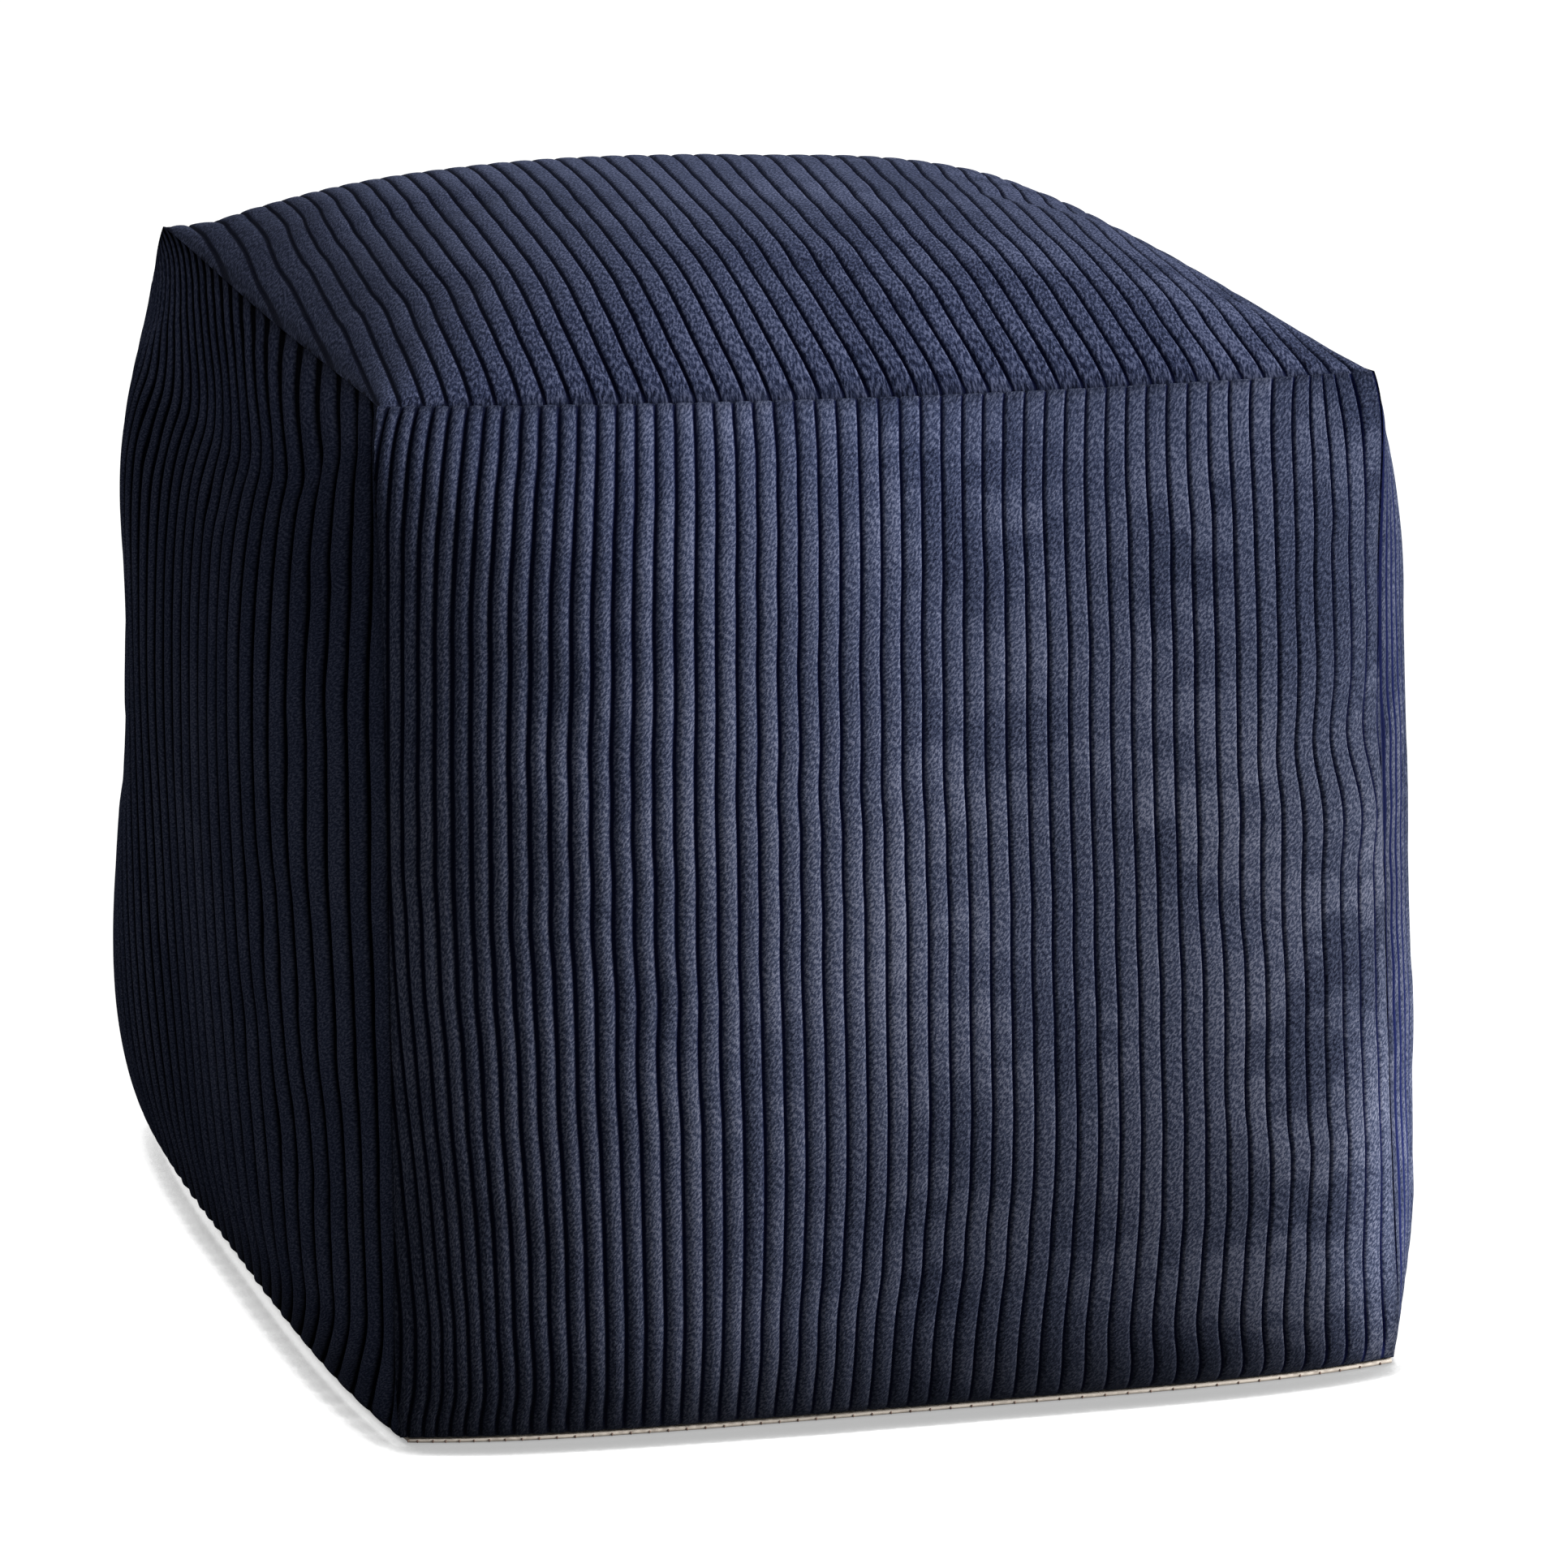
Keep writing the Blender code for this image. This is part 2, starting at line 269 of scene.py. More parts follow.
def makeCage():
    cells = cover["cells"]
    even = np.linspace(-1, 1, cells + 1)
    across = np.repeat(even[None], cells + 1, 0)
    laid = {name: panelPoints(name, across, (even + 1) / 2) for name in sides}
    laid["top"] = panelPoints("top", across, even)
    u = ((across + 1) / 2)[..., None]
    v = np.transpose(u, (1, 0, 2))
    front, back = laid["front"][0], laid["back"][0][::-1]
    left, right = laid["left"][0][::-1, None], laid["right"][0][:, None]
    ends = (front[0], front[-1], back[0], back[-1])
    laid["bottom"] = stretched(front, back, left, right, ends, u, v)[:, ::-1]
    pieces = [laidGrid("cage_" + name, points) for name, points in laid.items()]
    deselectAll()
    for piece in pieces:
        piece.select_set(True)
    bpy.context.view_layer.objects.active = pieces[0]
    bpy.ops.object.join()
    cage = bpy.context.active_object
    bpy.ops.object.mode_set(mode="EDIT")
    bpy.ops.mesh.select_all(action="SELECT")
    bpy.ops.mesh.remove_doubles(threshold=cover["merge"])
    bpy.ops.mesh.normals_make_consistent(inside=False)
    bpy.ops.object.mode_set(mode="OBJECT")
    return cage, laid


def readPoints(mesh):
    flat = np.empty(len(mesh.vertices) * 3, np.float32)
    mesh.vertices.foreach_get("co", flat)
    return flat.reshape(-1, 3).astype(float)


# For each panel, the numbers of the cage's points that its grid of places became
def cagePlaces(before, laid):
    finder = kdtree.KDTree(len(before))
    for i, point in enumerate(before):
        finder.insert(point, i)
    finder.balance()
    return {name: np.array([[finder.find(p)[1] for p in row] for row in points])
            for name, points in laid.items()}


def settle(cage, places):
    held = cage.vertex_groups.new(name="held")
    held.add([int(i) for i in np.unique(places["bottom"])], 1.0, "REPLACE")
    seams = cage.vertex_groups.new(name="seams")
    seamPoints = [places[n][row] for n in places for row in (0, -1)]
    seamPoints += [places[n][:, column] for n in places for column in (0, -1)]
    seams.add([int(i) for i in np.unique(np.concatenate(seamPoints))], 1.0, "REPLACE")
    bpy.ops.object.modifier_add(type="CLOTH")
    cloth = cage.modifiers[-1]
    settings = cloth.settings
    settings.quality = cover["quality"]
    settings.mass = cover["mass"]
    settings.tension_stiffness = settings.compression_stiffness = cover["stiffness"]
    settings.shear_stiffness = cover["shearStiffness"]
    settings.bending_stiffness = cover["bending"]
    settings.use_pressure = True
    settings.uniform_pressure_force = cover["pressure"]
    settings.effector_weights.gravity = 0
    settings.vertex_group_mass = "held"
    settings.vertex_group_shrink = "seams"
    settings.shrink_min = 0
    settings.shrink_max = cover["seamShrink"]
    cloth.point_cache.frame_start = 1
    cloth.point_cache.frame_end = cover["frames"]
    for step in range(1, cover["frames"] + 1):
        bpy.context.scene.frame_set(step)
    bpy.ops.object.modifier_apply(modifier=cloth.name)
    bpy.context.scene.frame_set(1)


def evened(values, passes):
    for _ in range(passes):
        for axis in (0, 1):
            padded = np.pad(values, [(1, 1) if a == axis else (0, 0) for a in range(3)], mode="edge")
            count = values.shape[axis]
            before, after = np.take(padded, range(count), axis), np.take(padded, range(2, count + 2), axis)
            values = values / 2 + (before + after) / 4
    return values


# The wrinkles in a panel's movement, none of them at its seams
def wrinkles(moved):
    fine = evened(moved, cover["evenPasses"][0]) - evened(moved, cover["evenPasses"][1])
    fromEdge = np.minimum(np.arange(len(fine)), np.arange(len(fine))[::-1])
    fade = np.minimum(1, np.minimum(fromEdge[:, None], fromEdge[None]) / cover["seamCells"])
    length = np.linalg.norm(fine, axis=-1, keepdims=True)
    return fine * fade[..., None] * np.minimum(1, cover["mostMoved"] / np.maximum(length, 1e-9))


# What the filling does to the cover: how far each place of each panel moves, and where it faces
def settleCover():
    cage, laid = makeCage()
    before = readPoints(cage.data)
    places = cagePlaces(before, laid)
    facing = np.array([normal.vector for normal in cage.data.vertex_normals], float)
    moved = np.zeros_like(before)
    settle(cage, places)
    moved = readPoints(cage.data) - before
    length = np.linalg.norm(moved, axis=1)
    print("cover settled: moved", round(float(length.mean()) * 1000, 2), "mm on average,",
          round(float(length.max()) * 1000, 2), "mm at most")
    bpy.data.objects.remove(cage, do_unlink=True)
    folds = {name: wrinkles(moved[i]) for name, i in places.items()}
    deepest = {name: round(float(np.abs(fold).max()) * 1000, 2) for name, fold in folds.items()}
    print("deepest wrinkles in mm:", deepest)
    return folds, {name: facing[i] for name, i in places.items()}


settled, facings = settleCover()


# A cord's section: where the columns of points lie in it, and how deep the cloth is there
cord = {
    "depth": 0.0021,
    "usualWidth": 0.0086,
    "widthRange": (0.0, 1.25),  # narrow cords are lower, wide ones higher
    "spots": (0.00, 0.05, 0.10, 0.18, 0.32, 0.50, 0.68, 0.82, 0.90, 0.95),
    "flat": (1.00, 0.62, 0.18, 0.05, 0.01, 0.00, 0.01, 0.05, 0.18, 0.62),   # pressed cords, narrow grooves
    "round": (1.00, 0.86, 0.64, 0.36, 0.10, 0.00, 0.10, 0.36, 0.64, 0.86),  # full cords
    "roundIsDeeper": 0.35,
    "roundness": {              # at each panel's left and right seams
        "front": (1.0, 0.0), "top": (0.25, 0.1), "left": (1.0, 1.0),
        "right": (0.6, 0.6), "back": (0.6, 0.6),
    },
    "roundnessOver": (-0.9, 0.5),
    "relief": {"front": 1.0, "top": 0.72, "left": 1.0, "right": 1.0, "back": 1.0},
    "grooveBackingAndShade": {             # how wide the dark of the grooves is, at places across each panel: the backing cloth between the cords, and painted shade
        "front": ((-1, 1.0), (0.4, 0.80), (0.8, 0.82), (0.97, 1.5)),
        "top": ((-1, 1.5), (0, 1.0), (1, 1.0)),
        "left": ((-1, 1.9), (-0.2, 1.5), (0.4, 1.1), (0.8, 0.85)),
        "right": ((-1, 2.4), (-0.5, 1.3), (1, 1.0)),
        "back": ((-1, 1.0), (1, 1.0)),
    },
    "wander": {                 # how far cords stray, in half panels
        "front": 0.0020, "top": 0.0016, "left": 0.0008, "right": 0.0020, "back": 0.0020,
    },
    "wanderCells": (26, 9),
    "wanderFade": (12, 25),     # how steeply that fades to the side seams and to the ends
}

# How each panel is cut from the corduroy. Cords is their number across it, seen from outside, and
# more is how many others there are for a slanting cut to bring in at its left and right. Middle,
# first and last spread (+) or crowd (-) them in the middle and at the left and right seams.
cuts = {
    "front": {"cords": 50, "more": (4, 4), "middle": 0.00, "first": -0.25, "last": 0.45, "reach": 0.25},
    "right": {"cords": 50, "more": (4, 4), "middle": 0.00, "first": -0.10, "last": 0.10, "reach": 0.25},
    "back": {"cords": 50, "more": (4, 4), "middle": 0.00, "first": 0.10, "last": -0.10, "reach": 0.25},
    "left": {"cords": 28, "more": (15, 4), "middle": 0.50, "first": 0.00, "last": 0.00, "reach": 0.25},
    "top": {"cords": 42, "more": (12, 4), "middle": 0.00, "first": -0.20, "last": 0.05, "reach": 0.45},
}

# Places where the cords swing sideways: shift is in half panels
swings = [
    {"panel": "front", "across": 0.93, "up": 0.66, "wide": 0.20, "high": 0.045, "shift": -0.022},
    {"panel": "front", "across": 0.95, "up": 0.57, "wide": 0.16, "high": 0.040, "shift": 0.020},
    {"panel": "front", "across": 0.05, "up": 0.08, "wide": 0.35, "high": 0.150, "shift": -0.030},
    {"panel": "front", "across": 0.62, "up": 0.00, "wide": 0.42, "high": 0.055, "shift": 0.048},
    {"panel": "front", "across": -1.00, "up": 0.10, "wide": 0.17, "high": 0.090, "shift": 0.015},
    {"panel": "front", "across": -0.95, "up": 0.00, "wide": 0.35, "high": 0.035, "shift": -0.014},
    {"panel": "top", "across": -0.85, "up": 0.25, "wide": 0.16, "high": 0.060, "shift": 0.006},
    {"panel": "top", "across": -0.88, "up": 0.60, "wide": 0.14, "high": 0.070, "shift": -0.007},
    {"panel": "right", "across": -0.80, "up": 0.60, "wide": 0.20, "high": 0.080, "shift": 0.018},
    {"panel": "back", "across": 0.75, "up": 0.35, "wide": 0.25, "high": 0.100, "shift": -0.014},
    {"panel": "left", "across": 0.70, "up": 0.22, "wide": 0.30, "high": 0.120, "shift": 0.008},
]

# The seams: how the cloth rolls down into them, and what is turned in
seam = {
    "sink": 0.0007,
    "hang": 0.0011,             # how far the cloth hangs over the edge of the base
    "shallower": 0.60,          # how much of a groove fills up at a seam
    "pressedLow": 0.75,         # and how much of the cords is pressed flat where the bag stands on them
    "pressedReach": 0.008,
    "merge": 0.00001,
    "uneven": 0.0005,           # bumps in the filling under the cloth
    "unevenCells": (9, 9),
    "roll": 0.0028,             # distance over which the cloth rolls down
    "blend": 0.006,             # where the two panels of a seam share their direction
    "allowance": 0.008,
    "pucker": 0.0006,
    "puckerReach": 0.014,
    "puckerCells": 26,          # along a panel's edge
    "edgeRows": (0.0, 0.0012, 0.0030, 0.0060),
    "innerRows": (0.010, 0.990, 140),
}
# Where each kind of unevenness starts its random draws
seeds = {"panels": 10, "uneven": 50, "puckers": 70}

bagFloor = bagLow[2] - seam["hang"]
fineSteps = 401                 # for adding up the widths of the cords


# The columns of points across a panel: counted in cords from its left seam, and their even places
def cordColumns(name):
    cut = cuts[name]
    fine = np.linspace(-1, 1, fineSteps)
    pitch = 1 + cut["middle"] * (1 - fine ** 2)
    pitch += cut["first"] * np.exp(-(1 + fine) / cut["reach"])
    pitch += cut["last"] * np.exp(-(1 - fine) / cut["reach"])
    place = np.concatenate([[0], np.cumsum((pitch[1:] + pitch[:-1]) / 2)])
    place = 2 * place / place[-1] - 1
    low, high = -cut["more"][0], cut["cords"] + cut["more"][1]
    counted = np.array([n + spot for n in range(low, high) for spot in cord["spots"]] + [high])
    depths = {kind: np.tile(cord[kind], high - low + 1)[:len(counted)] for kind in ("flat", "round")}
    t = 2 * counted / cut["cords"] - 1
    step = fine[1] - fine[0]
    across = np.interp(t, fine, place)
    across += np.minimum(t + 1, 0) * (place[1] - place[0]) / step
    across += np.maximum(t - 1, 0) * (place[-1] - place[-2]) / step
    return counted, across, depths


def rowShares():
    edge = np.array(seam["edgeRows"])
    return np.concatenate([edge, np.linspace(*seam["innerRows"]), 1 - edge[::-1]])


def smoothStep(low, high, value):
    t = np.clip((value - low) / (high - low), 0, 1)
    return t * t * (3 - 2 * t)


# The front's cords slip under its left seam over most of its height, and lean right close to the
# top seam. Lean and its reach go from a left value to a right one. Near the right seam is none.
frontFlow = {
    "slip": 0.055, "slipReach": 0.28, "slipUp": (0.14, 0.58),
    "lean": (0.050, 0.092), "leanOver": (-0.4, 0.35), "leanEnds": (0.72, 0.98),
    "leanReach": (0.125, 0.070), "reachOver": (-0.7, 0.3),
}


def flowOfFront(across, v):
    out = frontFlow["slip"] * (1 - smoothStep(*frontFlow["slipUp"], v))
    across = across + out * np.exp(-np.maximum(1 + across, 0) / frontFlow["slipReach"])
    (lean, leanRight), (reach, reachRight) = frontFlow["lean"], frontFlow["leanReach"]
    lean = lean + (leanRight - lean) * smoothStep(*frontFlow["leanOver"], across)
    reach = reach + (reachRight - reach) * smoothStep(*frontFlow["reachOver"], across)
    return across + lean * np.exp(-(1 - v) / reach) * (1 - smoothStep(*frontFlow["leanEnds"], across))


# The left panel's cords swing towards the back near its top and bottom, the far ones over a wider
# band. They gather towards the front low down, and lean to it again below the top.
leftFlow = {
    "top": {"shift": 0.80, "atSeam": 0.0, "reach": 0.36, "power": 1.5},
    "bottom": {"shift": 0.30, "atSeam": 0.045, "reach": 0.22, "power": 1.0},
    "band": (0.055, 0.115), "bandFrom": (0.08, 0.38), "bandPower": 2.0,
    "gather": 0.20, "gatherUp": (0.15, 0.64),
    "nearLean": 0.028, "nearLeanUp": (0.68, 0.92),
    "farLean": 0.060, "farLeanUp": (0.42, 0.82), "farLeanFrom": (0.50, 1.30),
}


def flowOfLeft(across, v):
    away = (1 - across) * (1 - leftFlow["gather"] * (1 - smoothStep(*leftFlow["gatherUp"], v)))
    band, widest = leftFlow["band"]
    band = np.where(v > 0.5, band + (widest - band) * smoothStep(*leftFlow["bandFrom"], away), widest)
    edge = np.maximum(0, (np.abs(v - 0.5) - 0.5 + band) / band) ** leftFlow["bandPower"]

    def shift(end):
        swung = 1 - np.exp(-(np.maximum(away, 0) / end["reach"]) ** end["power"])
        return end["atSeam"] + end["shift"] * swung

    lean = leftFlow["nearLean"] * smoothStep(*leftFlow["nearLeanUp"], v)
    far = smoothStep(*leftFlow["farLeanFrom"], away)
    lean = lean + leftFlow["farLean"] * smoothStep(*leftFlow["farLeanUp"], v) * far
    return 1 - away + lean - edge * np.where(v > 0.5, shift(leftFlow["top"]), shift(leftFlow["bottom"]))


# The top was cut a little askew: going back, its cords drift right, in from the left seam and out
# at the right one
topFlow = {
    "front": 0.062, "frontReach": 0.08,
    "drift": 0.120, "driftFrom": 0.25, "driftOver": 0.50, "driftPower": 1.3, "driftSkew": 0.90,
    "run": 0.17, "runReach": 0.50,
}


def flowOfTop(across, v):
    front = topFlow["front"] * np.exp(-v / topFlow["frontReach"]) * (1 - np.minimum(across ** 2, 1))
    back = np.maximum(0, (v - topFlow["driftFrom"]) / topFlow["driftOver"]) ** topFlow["driftPower"]
    run = topFlow["run"] * v * np.exp(-np.maximum(1 + across, 0) / topFlow["runReach"])
    return across + front + run + topFlow["drift"] * back * (1 + topFlow["driftSkew"] * across)


# The hidden panels are cut a little askew too
hiddenFlow = {"lean": {"right": 0.020, "back": -0.025}, "slip": 0.35, "slipReach": 0.15}


def flowOfHidden(name, across, v):
    middle = 4 * v * (1 - v) * hiddenFlow["slip"]
    for side in (-1, 1):
        near = 1 + side * across
        slip = middle * np.exp(-(np.maximum(near, 0) / hiddenFlow["slipReach"]) ** 2)
        across = side * (near * (1 - slip) - 1)
    return across + hiddenFlow["lean"][name] * (v - 0.5)


# Where each column of points lies at each row
def cordPlaces(name, across, share, seed):
    v = np.repeat(share[:, None], len(across), 1)
    across = np.repeat(across[None], len(share), 0)
    if name == "front":
        across = flowOfFront(across, v)
    elif name == "left":
        across = flowOfLeft(across, v)
    elif name == "top":
        across = flowOfTop(across, v)
    else:
        across = flowOfHidden(name, across, v)
    u = np.clip((across + 1) / 2, 0, 1)
    toSides, toEnds = cord["wanderFade"]
    inside = np.clip(toSides * (1 - np.abs(across)), 0, 1)
    ends = np.minimum(1, toEnds * v * (1 - v))
    drift = smoothSample(softNoise(seed, *cord["wanderCells"]), u, v) * cord["wander"][name]
    across = across + drift * inside * ends
    for swing in swings:
        if swing["panel"] == name:
            beside, above = (across - swing["across"]) / swing["wide"], (v - swing["up"]) / swing["high"]
            across = across + swing["shift"] * np.exp(-beside ** 2 - above ** 2)
    return np.clip(across, -1, 1)


def unitNormals(points):
    normal = np.cross(np.gradient(points, axis=1), np.gradient(points, axis=0))
    return normal / np.maximum(np.linalg.norm(normal, axis=-1, keepdims=True), 1e-12)


# Distance of each point from the panel's nearest seam, in metres
def seamDistance(across, share):
    half = bag["halfPanel"]
    fromSides = (1 - np.abs(across)) * half
    fromEnds = (np.minimum(share, 1 - share) * 2 * half)[:, None]
    return fromSides, np.broadcast_to(fromEnds, across.shape)


def puckers(seed, across, share):
    cells = seam["puckerCells"]
    v = np.repeat(share[:, None], across.shape[1], 1)
    u = (across + 1) / 2
    fromSides, fromEnds = seamDistance(across, share)
    beside = smoothSample(softNoise(seed, cells, 3), u, v) * np.exp(-fromSides / seam["puckerReach"])
    ends = smoothSample(softNoise(seed + 1, 3, cells), u, v) * np.exp(-fromEnds / seam["puckerReach"])
    return (beside + ends) * seam["pucker"]


# How much each place of a panel rolls down into a seam
def seamRoll(across, share):
    fromSides, fromEnds = seamDistance(across, share)
    roll = np.exp(-(fromSides / seam["roll"]) ** 2) + np.exp(-(fromEnds / seam["roll"]) ** 2)
    return np.minimum(roll, 1)


# How deep in a groove each place lies, and how far its cloth is lifted
def clothRelief(name, seed, across, share, counted, depths):
    width = np.gradient(across, axis=1) / np.gradient(counted) * bag["halfPanel"]
    width = np.clip(width / cord["usualWidth"], *cord["widthRange"])
    atLeft, atRight = cord["roundness"][name]
    roundness = atLeft + (atRight - atLeft) * smoothStep(*cord["roundnessOver"], across)
    groove = depths["flat"] + (depths["round"] - depths["flat"]) * roundness
    depth = cord["depth"] * cord["relief"][name] * (1 + cord["roundIsDeeper"] * roundness) * width
    if name != "top":
        height = (share * bag["sideDrop"])[:, None]
        depth = depth * (1 - seam["pressedLow"] * np.exp(-(height / seam["pressedReach"]) ** 2))
    roll = seamRoll(across, share)
    lift = -groove * depth * (1 - seam["shallower"] * roll) - roll * seam["sink"]
    lift += puckers(seed + seeds["puckers"], across, share) * (1 - roll)
    bumps = softNoise(seed + seeds["uneven"], *seam["unevenCells"])
    v = np.repeat(share[:, None], across.shape[1], 1)
    return groove, lift + smoothSample(bumps, (across + 1) / 2, v) * seam["uneven"] * (1 - roll)


# A fine corduroy panel: the sewn shape, what the simulation moved, the cords and the turned-in edges
def makePanel(name, seed):
    share = rowShares()
    counted, even, depths = cordColumns(name)
    across = cordPlaces(name, even, share, seed)
    u = (across + 1) / 2
    v = np.repeat(share[:, None], across.shape[1], 1)
    points = panelPoints(name, across, 2 * share - 1 if name == "top" else share)
    points = points + smoothSample(settled[name], u, v)
    facing = smoothSample(facings[name], u, v)
    facing /= np.linalg.norm(facing, axis=-1, keepdims=True)
    near = np.exp(-(np.minimum(*seamDistance(across, share)) / seam["blend"]) ** 2)[..., None]
    normal = unitNormals(points) * (1 - near) + facing * near
    normal /= np.linalg.norm(normal, axis=-1, keepdims=True)
    groove, lift = clothRelief(name, seed, across, share, counted, depths)
    points = points + normal * lift[..., None]
    points[..., 2] -= seam["hang"] * np.exp(-np.maximum(points[..., 2] - bagLow[2], 0) / seam["roll"])
    points[..., 2] = np.maximum(points[..., 2], bagFloor)

    piece = laidGrid("corduroy_" + name, turnIn(points, facing))
    counts = np.repeat(counted[None], len(share), 0)
    cloth = np.stack([counts / cuts[name]["cords"], v], -1) * 2 * bag["halfPanel"]
    addClothMap(piece, np.pad(cloth, ((1, 1), (1, 1), (0, 0)), mode="edge"))
    addValue(piece, "cord", np.pad(counts, 1, mode="edge"))
    # The grooves' dark: the backing cloth between the cords, and painted shade in them
    dark = groove * np.interp(across, *zip(*cord["grooveBackingAndShade"][name]))
    addValue(piece, "groove", np.pad(np.minimum(dark, 1), 1, mode="edge"))
    # How far each place rolls into a seam: where the painted seam shade lies
    addValue(piece, "seam", np.pad(seamRoll(across, share), 1, constant_values=1.0))
    bpy.ops.object.mode_set(mode="EDIT")
    bpy.ops.mesh.select_all(action="SELECT")
    bpy.ops.mesh.remove_doubles(threshold=seam["merge"])    # cords that the cut leaves out
    bpy.ops.object.mode_set(mode="OBJECT")
    bpy.ops.object.shade_smooth()
    return piece


# Adds a hidden row and column of points all round, turned in as the seam allowance
def turnIn(points, facing):
    padded = np.pad(points, ((1, 1), (1, 1), (0, 0)), mode="edge")
    inward = -np.pad(facing, ((1, 1), (1, 1), (0, 0)), mode="edge")
    edge = np.ones(padded.shape[:2], bool)
    edge[1:-1, 1:-1] = False
    padded[edge] += inward[edge] * seam["allowance"]
    padded[..., 2] = np.maximum(padded[..., 2], bagFloor)
    return padded


def addClothMap(piece, cloth):
    mesh = piece.data
    layer = mesh.uv_layers[0]
    layer.name = "cloth"
    corners = np.empty(len(mesh.loops), np.int32)
    mesh.loops.foreach_get("vertex_index", corners)
    layer.data.foreach_set("uv", cloth.reshape(-1, 2)[corners].reshape(-1).astype(np.float32))


def addValue(piece, name, values):
    attribute = piece.data.attributes.new(name, "FLOAT", "POINT")
    attribute.data.foreach_set("value", values.reshape(-1).astype(np.float32))


panels = {name: makePanel(name, seeds["panels"] + i) for i, name in enumerate((*sides, "top"))}
print("corduroy panels:", sum(len(p.data.polygons) * 2 for p in panels.values()), "triangles")

# The base: undyed cloth under the bag, of which only the edge shows, sewn on through the grooves
base = {
    "cells": 64,
    "edgeRound": 0.0005,
    "edgeSteps": 2,
    "flat": (0.430, 0.436),
    "stitchRounds": (8, 6),     # how many faces a stitch has round it and along it
    "stitchWidth": 0.0008,
    "stitchHeight": 0.0013,
    "stitchOut": 0.0001,        # how far the middle of a stitch stands outside the edge
}


# The bag's bottom outline, fitted to the box of the base
def baseOutline(points):
    sidesLow = np.concatenate([panelPoints(n, np.linspace(-1, 1, bag["outlineSteps"])[None], np.zeros(1))[0]
                               for n in sides])
    low, high = sidesLow.min(0)[:2], sidesLow.max(0)[:2]
    newLow, newHigh = np.array(baseLow[:2]), np.array(baseHigh[:2])
    fitted = points.copy()
    fitted[..., :2] = newLow + (points[..., :2] - low) / (high - low) * (newHigh - newLow)
    fitted[..., 2] = baseLow[2]
    return fitted


def makeBase():
    even = np.linspace(-1, 1, base["cells"] + 1)
    floorRow = np.zeros(1)
    edges = {name: panelPoints(name, even[None], floorRow)[0] for name in sides}
    front, back = edges["front"], edges["back"][::-1]
    left, right = edges["left"][::-1, None], edges["right"][:, None]
    u = np.repeat(((even + 1) / 2)[None, :, None], len(even), 0)
    v = np.transpose(u, (1, 0, 2))
    points = stretched(front, back, left, right, (front[0], front[-1], back[0], back[-1]), u, v)
    piece = laidGrid("base_cloth", baseOutline(points))
    bpy.ops.object.modifier_add(type="SOLIDIFY")
    piece.modifiers[-1].thickness = baseHigh[2] - baseLow[2] - seam["hang"]
    piece.modifiers[-1].offset = 1
    bpy.ops.object.modifier_apply(modifier=piece.modifiers[-1].name)
    bpy.ops.object.modifier_add(type="BEVEL")
    piece.modifiers[-1].width = base["edgeRound"]
    piece.modifiers[-1].segments = base["edgeSteps"]
    bpy.ops.object.modifier_apply(modifier=piece.modifiers[-1].name)
    bpy.ops.object.shade_smooth()
    return piece


# One small stitch at each groove, copied round the base's edge
def makeStitches():
    deselectAll()
    around, along = base["stitchRounds"]
    bpy.ops.mesh.primitive_uv_sphere_add(segments=around, ring_count=along, radius=0.5)
    first = bpy.context.active_object
    first.name = first.data.name = "base_stitches"
    bpy.ops.object.shade_smooth()
    mesh = first.data
    mesh.transform(Matrix.Diagonal((base["stitchWidth"], base["stitchWidth"], base["stitchHeight"], 1)))
    height = (baseLow[2] + baseHigh[2] - seam["hang"]) / 2
    copies = []
    for name, side in sides.items():
        _, even, _ = cordColumns(name)
        grooves = cordPlaces(name, even[::len(cord["spots"])], np.zeros(1), 0)
        grooves = grooves[np.abs(grooves) < 1]
        edge = baseOutline(panelPoints(name, grooves[None], np.zeros(1))[0])
        angle = side["quarter"] * math.pi / 2
        outward = np.array([math.sin(angle), -math.cos(angle), 0])
        for point in edge:
            x, y, _ = point + outward * base["stitchOut"]
            stitch = bpy.data.objects.new("stitch", mesh.copy())
            bpy.context.collection.objects.link(stitch)
            stitch.data.transform(Matrix.Translation((x, y, height)))
            copies.append(stitch)
    deselectAll()
    for stitch in copies:
        stitch.select_set(True)
    bpy.context.view_layer.objects.active = copies[0]
    bpy.ops.object.join()
    joined = bpy.context.active_object
    bpy.data.objects.remove(first, do_unlink=True)
    joined.name = joined.data.name = "base_stitches"
    return joined


baseCloth = makeBase()
stitches = makeStitches()
print("base cloth and its stitches:", len(stitches.data.polygons), "faces in the stitches")


def addNode(tree, kind, at, **settings):
    node = tree.nodes.new(kind)
    node.location = at
    for name, value in settings.items():
        setattr(node, name, value)
    return node


# Gives a node's inputs their values: by a link, where the value is another node's output
def feed(tree, node, values):
    for name, value in values.items():
        if isinstance(value, bpy.types.NodeSocket):
            tree.links.new(value, node.inputs[name])
        else:
            node.inputs[name].default_value = value


def math2(tree, operation, first, second, at):
    node = addNode(tree, "ShaderNodeMath", at, operation=operation)
    feed(tree, node, {0: first} if second is None else {0: first, 1: second})
    return node.outputs[0]


# Value from one range to another
def remap(tree, value, low, high, newLow, newHigh, at):
    node = addNode(tree, "ShaderNodeMapRange", at)
    feed(tree, node, {"Value": value, "From Min": low, "From Max": high, "To Min": newLow, "To Max": newHigh})
    return node.outputs["Result"]


def noise(tree, vector, size, at, detail=2.0, roughness=0.5, turn=0.0):
    turned = addNode(tree, "ShaderNodeMapping", (at[0] - 400, at[1]))
    feed(tree, turned, {"Vector": vector, "Rotation": (0, 0, turn)})
    sized = addNode(tree, "ShaderNodeMapping", (at[0] - 200, at[1]))
    feed(tree, sized, {"Vector": turned.outputs[0], "Scale": [1 / part for part in size]})
    node = addNode(tree, "ShaderNodeTexNoise", at)
    feed(tree, node, {"Vector": sized.outputs[0], "Scale": 1.0, "Detail": detail, "Roughness": roughness})
    return node.outputs[0]


